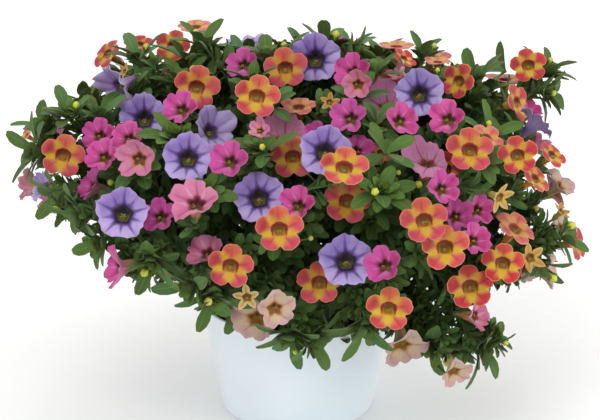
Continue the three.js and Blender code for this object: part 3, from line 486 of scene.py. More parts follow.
# Petals have lobes, the star that runs from the throat out along the seams, veins, and a halo and a ring
# round the throat. Reach is 0 at the throat and 1 at the edge of the limb; seam is 0 mid-lobe and 1
# between lobes. The values of each shade are
#   lobes: the lower and the upper ones; dark: colour, turn and amount of the darker corner, painted shade
#   star: colour, and colour upward; arms: reach mid-lobe and along the seams, power, softness
#   showing, where the star is faint: its amount, and how much of it goes towards the edge
#   core: amount over the mid-lobe
#   vein: colour, amount mid-lobe and along the seams, spread at the throat; edge: colour, amount
#   halo: colour, reach; ring: colour, width, gap below; throat: wall (painted light) and pit (painted shade);
#       back: limb, tube
coral = {
    "lobes": ("#cd4456", "#cf6044"), "dark": ("#9a1c28", -72, 0.95),
    "star": ("#cea61a", "#c8922a"), "arms": (0.15, 1.1, 2.2, 0.36), "core": 0.3,
    "vein": ("#aa2630", 0.6, 0, 0.16), "edge": ("#dab070", 0.5), "halo": ("#d08a20", 0.18),
    "ring": ("#7c0a02", 0.19, 1), "throat": ("#c48a2a", "#8a5a1e"), "back": ("#d98a62", "#cf9a42"),
}
ochre = {
    "lobes": ("#c69c52", "#cfa858"), "dark": ("#a85a2c", -70, 0.6),
    "star": ("#caa846", "#c29c40"), "arms": (0.3, 0.6, 1.6, 0.35), "core": 0.3,
    "vein": ("#a8542c", 0.6, 0, 0.3), "edge": ("#dcc480", 0.8), "halo": ("#b87a30", 0.25),
    "ring": ("#7a3414", 0.14, 0.6), "throat": ("#b89430", "#8a6c28"), "back": ("#b09c44", "#a2943c"),
}
petalShades = {
    "orange": coral,
    "scarlet": coral | {
        "lobes": ("#c62c42", "#c63a3c"), "dark": ("#92142a", -65, 0.7), "star": ("#cfa61e", "#c8942a"),
        "arms": (0.15, 1.12, 2.2, 0.3), "core": 0.15, "vein": ("#8e1020", 0.55, 0, 0.16),
        "edge": ("#dcae58", 0.65), "halo": ("#cc861e", 0.17), "ring": ("#740a04", 0.19, 1),
        "back": ("#c8605a", "#c89440"),
    },
    "crimson": coral | {
        "lobes": ("#c21a2c", "#cc2830"), "dark": ("#8a0e1e", -60, 0.6), "star": ("#e0a832", "#d88a34"),
        "arms": (0.16, 1, 2.6, 0.16), "core": 0, "vein": ("#840e1a", 0.5, 0, 0.1),
        "edge": ("#dfa050", 0.55), "halo": ("#c8801c", 0.16), "ring": ("#640a08", 0.18, 0.9),
        "back": ("#bd4c4e", "#c08440"),
    },
    "cream": ochre | {
        "lobes": ("#d6c07a", "#dccc8c"), "star": ("#d6c078", "#ceb86c"), "edge": ("#e4d49c", 0.8),
    },
    "gold": ochre,
    "salmon": {
        "lobes": ("#d86464", "#da8868"), "dark": ("#b23c50", -60, 0.6),
        "star": ("#dfa44c", "#d89a58"), "arms": (0.25, 0.9, 2.2, 0.3), "core": 0.3,
        "vein": ("#a83038", 0.6, 0.2, 0.1), "edge": ("#e6b890", 0.6), "halo": ("#cc8434", 0.2),
        "ring": ("#8e2c1a", 0.16, 0.7), "throat": ("#b88e34", "#886626"), "back": ("#d37c66", "#cf8834"),
    },
    "violet": {
        "lobes": ("#b7a4da", "#9a84c0"), "dark": ("#7860aa", -50, 0.75),
        "star": ("#9078bc", "#866cb4"), "arms": (0.2, 0.3, 3, 0.3), "core": 0,
        "vein": ("#56348a", 0.85, 0.75, 0.7), "edge": ("#c2b4e2", 0.3), "halo": ("#34105a", 0.25),
        "ring": ("#260a30", 0.15, 0), "throat": ("#6c6628", "#2c2024"), "back": ("#a08abf", "#644678"),
    },
    "lilac": {
        "lobes": ("#bfafda", "#ae9ace"), "dark": ("#947abc", -50, 0.5),
        "star": ("#9c80be", "#9c80be"), "arms": (0.2, 0.3, 3, 0.4), "core": 0,
        "vein": ("#7450a0", 0.5, 0.5, 0.5), "edge": ("#c8bae2", 0.35), "halo": ("#76589c", 0.17),
        "ring": ("#543a6c", 0.13, 0), "throat": ("#6c6630", "#3e2e34"), "back": ("#ae9aca", "#80608a"),
    },
    "pink": {
        "lobes": ("#cf4a9e", "#cb529e"), "dark": ("#b42a72", 95, 0.9),
        "star": ("#e08cb8", "#e294bc"), "arms": (-0.08, 0.9, 5, 0.24), "showing": (0.52, 0.35), "core": 0.25,
        "vein": ("#a82268", 0.55, 0, 0.5), "edge": ("#de68ae", 0.35), "halo": ("#962a60", 0.24),
        "ring": ("#5c1228", 0.1, 0.8), "throat": ("#86601e", "#50240f"), "back": ("#d884ac", "#bd8256"),
    },
    "blush": {
        "lobes": ("#de7aa2", "#dd88aa"), "dark": ("#c2608a", 95, 0.5),
        "star": ("#e9b8c6", "#ecc0cc"), "arms": (0, 0.9, 4, 0.26), "showing": (0.65, 0.3), "core": 0.2,
        "vein": ("#b43e70", 0.6, 0.15, 0.4), "edge": ("#e29cba", 0.35), "halo": ("#b4526c", 0.2),
        "ring": ("#80203a", 0.13, 0.7), "throat": ("#906224", "#5c3018"), "back": ("#dc98aa", "#cd9054"),
    },
    "faded": {
        "lobes": ("#db86aa", "#d888a8"), "dark": ("#c26480", 95, 0.5),
        "star": ("#dfa898", "#e2b0a0"), "arms": (0.1, 0.9, 3, 0.3), "showing": (0.45, 0.3), "core": 0.2,
        "vein": ("#b04468", 0.6, 0.2, 0.4), "edge": ("#dfa0bc", 0.4), "halo": ("#c07a48", 0.22),
        "ring": ("#8a3230", 0.12, 0.7), "throat": ("#9a6a28", "#643a1c"), "back": ("#d594a0", "#c98a56"),
    },
    "mauve": {
        "lobes": ("#cf86aa", "#cc7ca8"), "dark": ("#b2628c", -60, 0.4),
        "star": ("#d49cb6", "#d49cb6"), "arms": (0.1, 0.6, 3, 0.35), "core": 0,
        "vein": ("#8e3066", 0.75, 0.6, 0.3), "edge": ("#d8a0bc", 0.3), "halo": ("#aa5252", 0.2),
        "ring": ("#80302c", 0.14, 0.6), "throat": ("#a07a3c", "#724624"), "back": ("#c97fa5", "#c28058"),
    },
    "dusky": {
        "lobes": ("#cda6a6", "#cbb0a2"), "dark": ("#b07a88", -60, 0.4),
        "star": ("#d8c49c", "#d8c49c"), "arms": (0.35, 0.6, 2.4, 0.35), "showing": (0.9, 0), "core": 0,
        "vein": ("#aa6c38", 0.5, 0.2, 0.3), "edge": ("#d4b4b8", 0.5), "halo": ("#b07e3c", 0.22),
        "ring": ("#964e1a", 0.14, 0.6), "throat": ("#b4883a", "#7c5624"), "back": ("#c4a898", "#c4ae78"),
    },
}
placeSpan = 2.5  # the place values run from 0 to 1 over this many radii of the limb


def petalLook(name, shade):
    look = newLook(
        f"petal_{name}", Roughness=0.55, Specular_IOR_Level=0.3, Sheen_Weight=0.12, Sheen_Roughness=0.5,
        Subsurface_Weight=0.12, Subsurface_Scale=0.0015,
    )
    u, v = pairOf(look, "place")
    reach, side = pairOf(look, "side")
    draw, _ = pairOf(look, "tone")
    x, y = (place * placeSpan - placeSpan / 2 for place in (u, v))
    lobe = maths("WRAP", maths("ARCTAN2", x, y) * (5 / fullTurn), 0.5, -0.5)
    seam = abs(lobe) * 2
    wide = maths("MAXIMUM", maths("SQRT", x * x + y * y), 0.02)
    aroundX, aroundY = x / wide, y / wide
    streaks = speckle(look, 5, 3, vectorOf(aroundX, aroundY, reach * 0.5))
    fineStreaks = speckle(look, 26, 2, vectorOf(aroundX, aroundY, reach * 0.12))
    mottle = speckle(look, 260, 3)

    # the lobes, lighter or warmer upward, one or two of them darker up to the left with painted shade
    colour = paint(*shade["lobes"], rise(y, -0.1, 0.75))
    dark, paintedShadeTurn, paintedShadeAmount = shade["dark"]
    corner = x * math.sin(math.radians(paintedShadeTurn)) + y * math.cos(math.radians(paintedShadeTurn))
    paintedShadeMask = rise(corner, 0.12, 0.62) * rise(draw, 0.02, 0.3) * fall(reach, 0.5, 1.15)
    # painted shade: the dark colour laid over the lobes on the side turned from the light
    colour = paint(colour, dark, paintedShadeMask * paintedShadeAmount)
    # the star
    starMiddle, starSeam, power, softness = shade["arms"]
    bound = seam ** power * starSeam + starMiddle + (streaks * 0.24 - 0.12)
    star = rise(bound - reach, -softness, softness)
    vein, mainAmount, seamAmount, veinSpread = shade["vein"]
    colour = paint(colour, vein, fall(seam, 0, 0.6) * fall(reach, 0.55, 1.05) * shade["core"])
    showing, fading = shade.get("showing", (1, 0))
    starColour = paint(*shade["star"], rise(y, -0.25, 0.45))
    colour = paint(colour, starColour, star * (showing - rise(reach, 0.55, 1) * fading))
    # the edge
    edge, edgeAmount = shade["edge"]
    colour = paint(colour, edge, rise(reach, 0.93, 1) * edgeAmount)
    # veins mid-lobe and along the seams, widest at the throat and gone at the edge, and fine ones between
    within = 1 - maths("MINIMUM", maths("MAXIMUM", reach, 0), 1)
    width = within ** 2.5 * veinSpread + 0.1
    outer = fall(reach, 0.45, 1.02)
    for off, amount in ((seam, mainAmount), (1 - seam, seamAmount)):
        colour = paint(colour, vein, fall(off, width * 0.1, width) * outer * amount)
    colour = paint(colour, vein, rise(fineStreaks, 0.52, 0.66) * fall(reach, 0.6, 1) * 0.3)
    # halo and ring round the throat; the ring is open below
    halo, haloReach = shade["halo"]
    haloEnd = streaks * 0.3 + (haloReach - 0.15)
    colour = paint(colour, halo, fall(reach, haloEnd * 0.35, haloEnd * 1.5) * 0.9)
    ring, ringWidth, gap = shade["ring"]
    wedge = fall(aroundY, -0.98, -0.78) * fall(reach, 0.15, 0.8) * gap
    colour = paint(colour, shade["star"][0], wedge * 0.8)
    closed = 1 - fall(aroundY, -0.85, -0.4) * gap
    colour = paint(colour, ring, fall(reach, ringWidth * 0.55, ringWidth) * closed)
    # down the throat: the lower wall in the lighter wall colour, painted light, and the upper wall and the
    # floor in the darker pit colour, painted shade
    throat, pit = shade["throat"]
    deep = paint(pit, throat, rise(aroundY * -1, -0.7, 0.6))
    # painted shade: the floor of the pit a little darker still
    deep = paint(deep, pit, fall(reach, -0.95, -0.5) * 0.2)
    around = maths("MAXIMUM", rise(aroundY, -0.5, 0.1), 1 - gap)
    wall = paint(deep, ring, rise(reach, -0.6, -0.15) * around)
    colour = paint(wall, colour, rise(reach, -0.02, 0.04))
    # the back of the limb and the tube
    limb, tube = shade["back"]
    back = paint(tube, limb, rise(reach, -0.45, 0.25))
    back = paint(back, vein, maths("MAXIMUM", fall(seam, 0, 0.14), rise(seam, 0.86, 1)) * 0.45)
    colour = paint(colour, back, rise(side, 0.3, 0.7))
    value = draw * 0.14 + mottle * 0.16 + 0.6
    colour = varied(colour, draw * 0.014 + 0.493, mottle * -0.12 + 1.06, value)
    return finish(look, colour, fineStreaks + mottle * 0.4, 0.35, 0.35)


# which shade each bloom has: the family's own, or one of these by where the bloom is seen, across and up
shadePlaces = {
    "orange": {
        "scarlet": [
            (154, 98), (106, 87), (148, 73), (137, -36), (115, -52), (187, -21), (147, 37), (160, 22),
            (171, 38), (172, 13), (-131, 106), (-86, 111),
        ],
        "crimson": [(-109, 113), (6, 56), (71, 103), (70, 70), (98, 28)],
        "gold": [(-119, 94), (20, 73), (137, 35), (126, 26), (136, 8), (156, -32), (177, 0)],
        "cream": [(-7, 20), (-36, -59)],
        "salmon": [
            (-185, 51), (-71, 125), (-1, 71), (55, 39), (65, 112), (93, 101), (138, 90), (127, 50),
            (146, -11),
        ],
    },
    "violet": {"lilac": [(-176, 16), (-58, 55), (-125, 82)]},
    "pink": {
        "blush": [(-72, 9), (122, -70), (-65, -26)],
        "faded": [(-111, 35), (38, 85), (-28, 55), (66, 94)],
        "mauve": [(57, 75), (-13, 53), (84, 36)],
        "dusky": [
            (177, 20), (155, -40), (179, -9), (171, -42), (72, -95), (106, -111), (-32, -75), (-15, -67),
        ],
    },
}
backShades = {"orange": "salmon", "violet": "lilac", "pink": "blush"}  # now and then on the far side
starShaped = {"notch": 0.44, "roundness": 1.1, "arch": 0.6, "lean": (3, 3, 3, 3, 3), "unevenness": 1.2}
shadeForms = {
    "gold": starShaped,
    "cream": starShaped,
    "dusky": {"wave": 1.1, "curl": -2.2, "notch": 0.84},
    "mauve": {
        "wave": 0.8, "curl": -0.8, "notch": 0.92, "roundness": 2.4, "tear": 0.03, "fold": 0.6, "tilt": 6.5,
        "lean": noLean,
    },
    "lilac": {"lean": (1.5, 5.5, -1, -1, 5.5), "wave": 1.4},
    "faded": {
        "wave": 2.2, "ripple": 1.1, "notch": 0.84, "curl": 1.4, "tear": 0.12, "unevenness": 2.6,
        "lean": (5, 3, 2, 3, 5),
    },
    "blush": {"wave": 1.3, "curl": -1.2, "notch": 0.84, "ripple": 0.5, "unevenness": 1.9},
}
draws = np.random.default_rng(11)

for bloom in blooms:
    family = bloom["family"]
    spot = inView(bloom["centre"])
    bloom["shade"] = family
    if bloom["axis"] @ forward > 0.1 and draws.random() < 0.22:
        bloom["shade"] = backShades[family]
    for shade, spots in shadePlaces[family].items():
        if min(math.hypot(spot[0] - across, spot[1] - up) for across, up in spots) < 1:
            bloom["shade"] = shade
    bloom["form"] = bloomForms[family] | shadeForms.get(bloom["shade"], {})
    bloom["reach"] = bloom["form"]["radius"] * bloom["scale"]

bloomGrid = {
    "columns": 40,
    "lobeLength": (0.86, 1.12),
    "dipWidth": 0.35,  # of the nick in a lobe's tip
    "waves": {"ragged": 17, "ripple": 15, "fineRipple": 22},  # round the limb
    "sway": (0.6, 1.3),
    "throatSquare": 0.96,
    "curlFrom": 0.72,
    "curlMost": 9,
    "pit": [(0.45, 1, -1), (0.75, 0.8, -0.7), (0.92, 0.35, -0.3)],  # width, depth, reach
    "limb": [0.0, 0.07, 0.17, 0.32, 0.48, 0.64, 0.78, 0.89, 0.96, 1.0],
    "back": [0.995, 0.8, 0.5, 0.22],
    # share of the throat's width and millimetres more, share of the length and millimetres more, reach, shift
    "tube": [
        (1, 0.4, 0, 1.2, -0.05, 1), (0.9, 0, 0.25, 0, -0.25, 0.75), (0.32, 1.5, 0.6, 0, -0.6, 0.4),
        (0, 1.5, 1, 0, -1, 0),
    ],
    "thickness": 0.35,
    "backSpread": 0.12,
    "pitShare": 0.5,
}


# the angles of a ring of columns
def turns(columns):
    return np.linspace(0, fullTurn, columns + 1)[:-1]


# a bloom: up from the pit of its throat, out over the limb, round the edge and back down the tube
def bloomPoints(bloom):
    form = bloom["form"]
    cup = form["cup"]
    angle = turns(bloomGrid["columns"])
    waves = bloomGrid["waves"]
    lobeTurn = angle * 5 / fullTurn
    lobe = np.round(lobeTurn).astype(int) % 5
    phi = np.abs(lobeTurn - np.round(lobeTurn)) * 2
    full = 1 - phi ** form["roundness"]
    longer = draws.uniform(*bloomGrid["lobeLength"], 5)[lobe]
    tipDip = form["dip"] * np.clip(1 - phi / bloomGrid["dipWidth"], 0, 1) ** 1.5
    ragged = form["ragged"] * np.sin(angle * waves["ragged"] + draws.uniform(0, 6)) * (0.3 + full)
    seam = np.floor(lobeTurn).astype(int) % 5
    notch = form["notch"] - draws.uniform(0, form["tear"], 5)[seam]
    edge = form["radius"] * (notch + (1 - notch) * full * longer - tipDip + ragged)
    power = form["throatPower"]
    squared = np.abs(np.sin(angle)) ** power + np.abs(np.cos(angle)) ** power
    throat = form["throat"] * (bloomGrid["throatSquare"] / squared ** (1 / power))
    throat = throat * (1 + form["throatLobes"] * np.cos(angle * 5))
    lean, shift = np.array(form["lean"]), np.array(form["shift"])
    if bloom["axis"][0] > 0.1:
        lean, shift = lean[[0, 4, 3, 2, 1]], shift * [-1, 1]
    lift = (draws.normal(0, form["unevenness"], 5) + lean)[lobe] * full
    swayTurn, rippleTurn = draws.uniform(0, fullTurn, 2)
    sway = form["wave"] * draws.uniform(*bloomGrid["sway"]) * np.sin(angle * 2 + swayTurn)
    fine = 0.6 * np.sin(angle * waves["fineRipple"] + swayTurn)
    ripple = form["ripple"] * (np.sin(angle * waves["ripple"] + rippleTurn) + fine)

    def limb(share):
        radius = throat + (edge - throat) * share
        rho = np.clip((radius - form["throat"]) / (form["radius"] - form["throat"]), 0, 1.1)
        height = -cup * np.clip(1 - rho, 0, 1) ** form["flare"]
        height = height + (lift + sway + form["tilt"] * np.cos(angle)) * rho**2 + ripple * rho**3
        height = height + form["fold"] * (phi - 0.5) * rho - form["arch"] * phi**2 * rho
        height = height + form["pleat"] * (2 * np.sin(math.pi * phi) - 1) * rho**1.3
        curled = np.clip(rho - bloomGrid["curlFrom"], 0, 1)
        return radius, height + form["curl"] * curled**2 * bloomGrid["curlMost"]

    # radius, height, reach, side and share of the throat's shift
    rows = []
    for width, depth, reach in bloomGrid["pit"]:
        rows.append((throat * width, -cup - form["pit"] * bloomGrid["pitShare"] * depth, reach, 0, 1))
    for share in bloomGrid["limb"]:
        rows.append((*limb(share), share, 0, 1 - share))
    for share in bloomGrid["back"]:
        radius, height = limb(share)
        under = height - bloomGrid["thickness"] / bloom["scale"]
        rows.append((radius + bloomGrid["backSpread"], under, share, 1, 1 - share))
    for width, wider, depth, deeper, reach, move in bloomGrid["tube"]:
        rows.append((throat * width + wider, -cup - (form["tube"] * depth + deeper), reach, 1, move))
    flat = np.array([
        np.stack([radius * np.sin(angle), radius * np.cos(angle), height + 0 * angle], -1)
        for radius, height, *_ in rows
    ])
    moves = np.array([[*(shift * row[4]), 0] for row in rows])[:, None]
    seated = np.array([bloom["right"], bloom["up"], bloom["axis"]])
    points = bloom["centre"] + (flat + moves) * [*form["stretch"], 1] * bloom["scale"] @ seated
    wrapped = np.concatenate([flat, flat[:, :1]], 1)
    place = wrapped[..., :2] / form["radius"] / placeSpan + 0.5
    return points, place, np.array([row[2:4] for row in rows])[:, None]


petals = {name: petalLook(name, shade) for name, shade in petalShades.items()}
print("petal finishes", len(petals))


def plainLook(name, colour, other, scale, **sockets):
    look = newLook(name, **sockets)
    cloud = speckle(look, scale, 4)
    return finish(look, paint(colour, other, rise(cloud, 0.3, 0.7)), cloud, 0.3, 0.3)


stamens = {
    "anthers": 5,
    "reach": 0.36,  # share of the throat's radius
    "drop": 0.3,  # how far they sit below its middle, as a share again
    "depth": 1.7,  # behind the throat's opening
    "width": 0.42,
    "length": 1.0,
    "lean": 0.7,
    "swell": [0.4, 1, 1, 0.4],
    "style": [0.3, 0.3, 0.9, 0.8],
    "yellow": "#94883a", "dusty": "#a0863a", "stigma": "#78802f",
}
antherLook = plainLook("anther", stamens["yellow"], stamens["dusty"], 900, Roughness=0.7)
stigmaLook = plainLook("stigma", stamens["stigma"], stamens["yellow"], 900, Roughness=0.6)


# two ways at right angles to a way and to each other
def acrossBoth(way, askew=(0.43, 0.84, 0.31)):
    across = unit(np.cross(way, askew))
    return across, np.cross(way, across)


# the way at an angle between two others
def wayAt(angle, across, beside):
    return across * math.cos(angle) + beside * math.sin(angle)


# a ring of ways round the way that both are across
def ringOf(columns, across, beside):
    angle = turns(columns)[:, None]
    return np.cos(angle) * across + np.sin(angle) * beside


# a closed spindle of rings about the line from foot to tip
def spindle(foot, tip, radii, columns=6):
    ring = ringOf(columns, *acrossBoth(unit(tip - foot), (0.31, 0.84, 0.43)))
    shares = np.linspace(0, 1, len(radii))
    return np.array([foot + (tip - foot) * share + ring * radius for share, radius in zip(shares, radii)])


def stamenParts(bloom):
    form, scale, axis = bloom["form"], bloom["scale"], bloom["axis"]
    drop = bloom["up"] * form["throat"] * stamens["drop"]
    parts = []
    for number in range(stamens["anthers"]):
        angle = fullTurn * (number + 0.5) / stamens["anthers"] + draws.uniform(-0.3, 0.3)
        out = wayAt(angle, bloom["up"], bloom["right"])
        reach = form["throat"] * stamens["reach"] * draws.uniform(0.7, 1.1)
        depth = form["cup"] + stamens["depth"] + draws.uniform(-0.5, 0.5)
        seat = bloom["centre"] + (out * reach - drop - axis * depth) * scale
        tip = seat + (axis * stamens["lean"] - out * stamens["lean"]) * stamens["length"]
        parts.append(part([spindle(seat, tip, np.array(stamens["swell"]) * stamens["width"])], antherLook))
    foot = bloom["centre"] - axis * (form["cup"] + form["pit"] * 0.5) * scale
    head = bloom["centre"] - axis * (form["cup"] + stamens["depth"] + 0.6) * scale - drop * scale
    return parts + [part([spindle(foot, head, stamens["style"])], stigmaLook)]


# foliage
foliage = {
    "old": "#47702a", "deep": "#365b22", "bluish": "#446c3e", "young": "#6f9234", "rib": "#7c964a",
    "back": "#5e7e40", "stalk": "#5c7a36", "bark": "#66583a",
}


def leafLook():
    look = newLook(
        "foliage", Roughness=0.58, Specular_IOR_Level=0.25, Sheen_Weight=0.04,
        Subsurface_Weight=0.08, Subsurface_Scale=0.001,
    )
    u, v = pairOf(look, "place")
    _, side = pairOf(look, "side")
    draw, youth = pairOf(look, "tone")
    cloud = speckle(look, 95, 3)
    grain = speckle(look, 700, 3)
    off = abs(u - 0.5)
    ribs = fall(off, 0.02, 0.055)
    veins = fall(maths("PINGPONG", v * 9 - off * 7, 0.5), 0.02, 0.1) * fall(off, 0.3, 0.48)
    colour = paint(foliage["deep"], foliage["old"], rise(cloud, 0.3, 0.7))
    colour = paint(colour, foliage["bluish"], rise(draw, 0.55, 1) * 0.75)
    colour = paint(colour, foliage["young"], youth * 0.85)
    rim = rise(off, 0.44, 0.5)
    for amount in (fall(v, 0, 0.3) * 0.4, ribs * 0.5, veins * 0.18, rim * 0.3):
        colour = paint(colour, foliage["rib"], amount)
    back = paint(foliage["back"], foliage["rib"], ribs * 0.7)
    colour = paint(colour, back, rise(side, 0.45, 0.55))
    colour = varied(colour, draw * 0.02 + 0.49, 1, draw * 0.2 + grain * 0.16 + 0.5)
    return finish(look, colour, grain * 0.5 + veins * -0.6 - ribs, 0.5, 0.4)


def stalkLook():
    look = newLook("stalk", Roughness=0.6, Sheen_Weight=0.15)
    height = axesOf(look.node_tree, position(look))[2]
    cloud = speckle(look, 320, 4)
    colour = paint(foliage["stalk"], foliage["old"], rise(cloud, 0.35, 0.7))
    colour = paint(colour, foliage["bark"], fall(height, 0.07, 0.12) * 0.8)
    return finish(look, colour, cloud, 0.5, 0.4)


foliageLook, stemLook = leafLook(), stalkLook()


# points along a smooth line through the given ones
def smoothPath(points, step):
    points = np.asarray(points, float)
    ends = np.concatenate([[2 * points[0] - points[1]], points, [2 * points[-1] - points[-2]]])
    line = []
    for a, b, c, d in zip(ends, ends[1:], ends[2:], ends[3:]):
        count = max(1, round(np.linalg.norm(c - b) / step))
        for share in np.arange(count) / count:
            line.append(0.5 * (
                2 * b + (c - a) * share + (2 * a - 5 * b + 4 * c - d) * share**2
                + (3 * b - a - 3 * c + d) * share**3
            ))
    return np.array(line + [points[-1]])


def tangents(line):
    return unit(np.gradient(line, axis=0))


# a tube along a line, with its radius at each point
def tubeAlong(line, radii, columns, look):
    ways = tangents(line)
    across, _ = acrossBoth(ways[0], (0.43, 0.31, 0.84))
    rings = []
    for point, way, radius in zip(line, ways, radii):
        across = unit(across - way * (across @ way))
        rings.append(point + radius * ringOf(columns, across, np.cross(way, across)))
    return part([rings], look)


def stalk(line, ends, columns):
    return tubeAlong(line, np.linspace(*ends, len(line)), columns, stemLook)


leafForm = {
    "thickness": 0.3,
    "fold": 0.22,
    "foldPower": 1.3,
    "petiole": 0.16,
    "widest": 0.65,
    "tipRound": 0.5,
    "tipWidth": 0.3,
    "wave": 0.05,
    "waves": 11,
    "deep": 0.88,  # leaves further inside the crown than this have a plainer section
    "steps": {
        3: (0, 0.35, 0.66, 0.9, 1),
        4: (0, 0.16, 0.42, 0.7, 0.91, 1),
        8: (0, 0.1, 0.26, 0.46, 0.66, 0.83, 0.95, 1),
    },
    "sections": {  # across, and side: 0 above, 1 below
        3: ([-1, 0, 1], [0.5, 0, 0.5]),
        4: ([-1, 0, 1, 0], [0.5, 0, 0.5, 1]),
        8: ([-1, -0.5, 0, 0.5, 1, 0.5, 0, -0.5], [0.5, 0, 0, 0, 0.5, 1, 1, 1]),
    },
}


# base, tip, upper side, half width, arch and sideways bend as shares of the length, and youth
def newLeaf(*values):
    return dict(zip(("base", "tip", "upper", "half", "arch", "bend", "youth"), values))


def listed(leaves, *keys):
    return [np.array([leaf[key] for leaf in leaves]) for key in keys]


# how far something bowed by these shares of the leaves' lengths is off, at these steps along them
def bowed(way, shares, away, steps):
    length = np.linalg.norm(away, axis=1)
    return way[:, None] * (shares * length)[:, None, None] * np.sin(math.pi * steps)[:, None]


def leafParts(leaves, look, columns):
    if not leaves:
        return []
    base, tip, upper, half, arch, bend, youth = listed(leaves, *leaves[0])
    away = tip - base
    way = unit(away)
    upper = unit(upper - way * (upper * way).sum(1, keepdims=True))
    beside = np.cross(way, upper)
    steps = np.array(leafForm["steps"][columns])
    across, sides = (np.array(values, float) for values in leafForm["sections"][columns])
    widest = leafForm["widest"]
    toWidest = np.sin(math.pi / 2 * np.minimum(steps / widest, 1)) ** 1.3
    past = np.clip((steps - widest) / (1 - widest), 0, 1)
    full = toWidest * (1 - past**2) ** leafForm["tipRound"]
    neck = leafForm["petiole"] * (1 - steps) + leafForm["tipWidth"] * steps
    width = (half[:, None] * np.maximum(np.clip(full, 0, 1), neck))[..., None]
    spine = base[:, None] + away[:, None] * steps[:, None]
    spine = spine + bowed(upper, arch, away, steps) + bowed(beside, bend, away, steps)
    turn = draws.uniform(0, 6, len(leaves))[:, None, None]
    wave = leafForm["wave"] * np.sin(steps[:, None] * leafForm["waves"] + turn) * across
    lifted = leafForm["fold"] * np.abs(across) ** leafForm["foldPower"] + wave
    height = width * lifted - np.where(sides > 0.75, leafForm["thickness"], 0)
    points = spine[:, :, None] + beside[:, None, None] * (width * across)[..., None]
    points = points + upper[:, None, None] * height[..., None]
    place = np.zeros((1, len(steps), columns + 1, 2))
    place[..., 0] = (np.append(across, across[0]) + 1) / 2
    place[..., 1] = steps[:, None]
    side = np.zeros((columns + 1, 2))
    side[:, 1] = np.append(sides, sides[0])
    shade = np.stack([draws.uniform(0, 1, len(leaves)), youth], -1)[:, None, None]
    return [part(points, look, place, side, shade)]


# leaves stay out of the blooms: neither through a limb nor in front of a face
clear = {
    "through": {"share": 1.02, "behind": 1.5, "before": 3},
    "before": {"share": 0.75, "most": 22},
    "seen": 0.8,
    "budRadius": 3.2,
    "steps": np.array([0.25, 0.5, 0.75, 1.0]),
    "bud": {"share": 1.1, "behind": 5, "before": 7},
}
bloomCentres, bloomAxes, bloomReach = listed(blooms, "centre", "axis", "reach")
bloomCups = np.array([bloom["form"]["cup"] * bloom["scale"] for bloom in blooms])
facing = bloomAxes @ -forward > 0.3
guarded = {"spots": inView(bloomCentres)[facing], "reach": bloomReach[facing] * clear["seen"]}


# which of the points are in which bloom, and how far out from its axis and up along it they are
def inBlooms(points, room):
    away = points[..., None, :] - bloomCentres
    height = (away * bloomAxes).sum(-1)
    radius = np.sqrt(np.maximum((away**2).sum(-1) - height**2, 0))
    inside = (radius < bloomReach * room["share"]) & (height > -bloomCups - room["behind"])
    return inside & (height < room["before"]), radius, height


def clearOfBlooms(leaves):
    if not leaves:
        return []
    base, tip, upper, arch = listed(leaves, "base", "tip", "upper", "arch")
    away = tip - base
    steps = clear["steps"]
    points = base[:, None] + away[:, None] * steps[:, None] + bowed(upper, arch, away, steps)
    through, radius, height = inBlooms(points, clear["through"])
    face = clear["before"]
    before = (radius < bloomReach * face["share"]) & (height > 0) & (height < face["most"])
    spots, faces = inView(points)[:, :, None], guarded["spots"]
    apart = np.hypot(spots[..., 0] - faces[:, 0], spots[..., 1] - faces[:, 1])
    hiding = (apart < guarded["reach"]) & (spots[..., 2] < faces[:, 2])
    bad = (through | before).any((1, 2)) | hiding.any((1, 2))
    return [leaf for leaf, out in zip(leaves, bad) if not out]


crown = {"middle": (-4, 0, 155), "half": (182, 140, 92), "power": 2.4}


# 0 in the middle of the crown, 1 at its skin
def crownLevel(points):
    shares = np.abs((np.asarray(points) - crown["middle"]) / crown["half"])
    return (shares ** crown["power"]).sum(-1) ** (1 / crown["power"])


def outward(point):
    return unit((np.asarray(point) - crown["middle"]) / np.square(crown["half"]))


# buds, furled, on stalks of their own: some by where they are seen, across and up, and some by the rosettes
buds = {
    "spots": [
        (3, 120), (53, 60), (-26, 65), (-38, 47), (18, 16), (44, 19), (-140, 32), (-113, -18), (-136, 3),
        (-145, -11), (-170, 23), (-127, 18), (-61, -26), (-29, -3), (7, -19), (-19, -78), (69, 2), (121, 59),
        (80, 17), (66, 25), (158, 1), (131, -84), (30, 34), (-80, 60), (100, -20),
    ],
    "levels": (0.82, 1.04),
    "bestLevel": 0.98,
    "levelCost": 60,  # as much as this many millimetres of stalk
    "search": (1400, 1640, 3),  # depths from the camera
    "stalkMost": 30,
    "stalk": (0.55, 0.45),
    "radius": (1.6, 2.7),
    "slender": 3.0,
    "columns": 15,
    "swell": [0.35, 0.55, 0.68, 0.84, 1.0, 0.95, 0.7, 0.22],
    "flute": 0.13,
    "byRosette": 0.45,
    "fromRosette": (9, 13),
    "sepal": {"reach": 0.62, "spread": 1.35, "half": 0.3, "arch": -0.1, "youth": 0.5},
    "pale": "#c2c440", "green": "#86a036", "tip": "#cc7a8c",
}
none = 999  # a cost that no place has


def alongView(across, up, depths):
    scale = depths[:, None] / view["distance"]
    return eye + forward * depths[:, None] + (np.array([1, 0, 0]) * across + upward * up) * scale


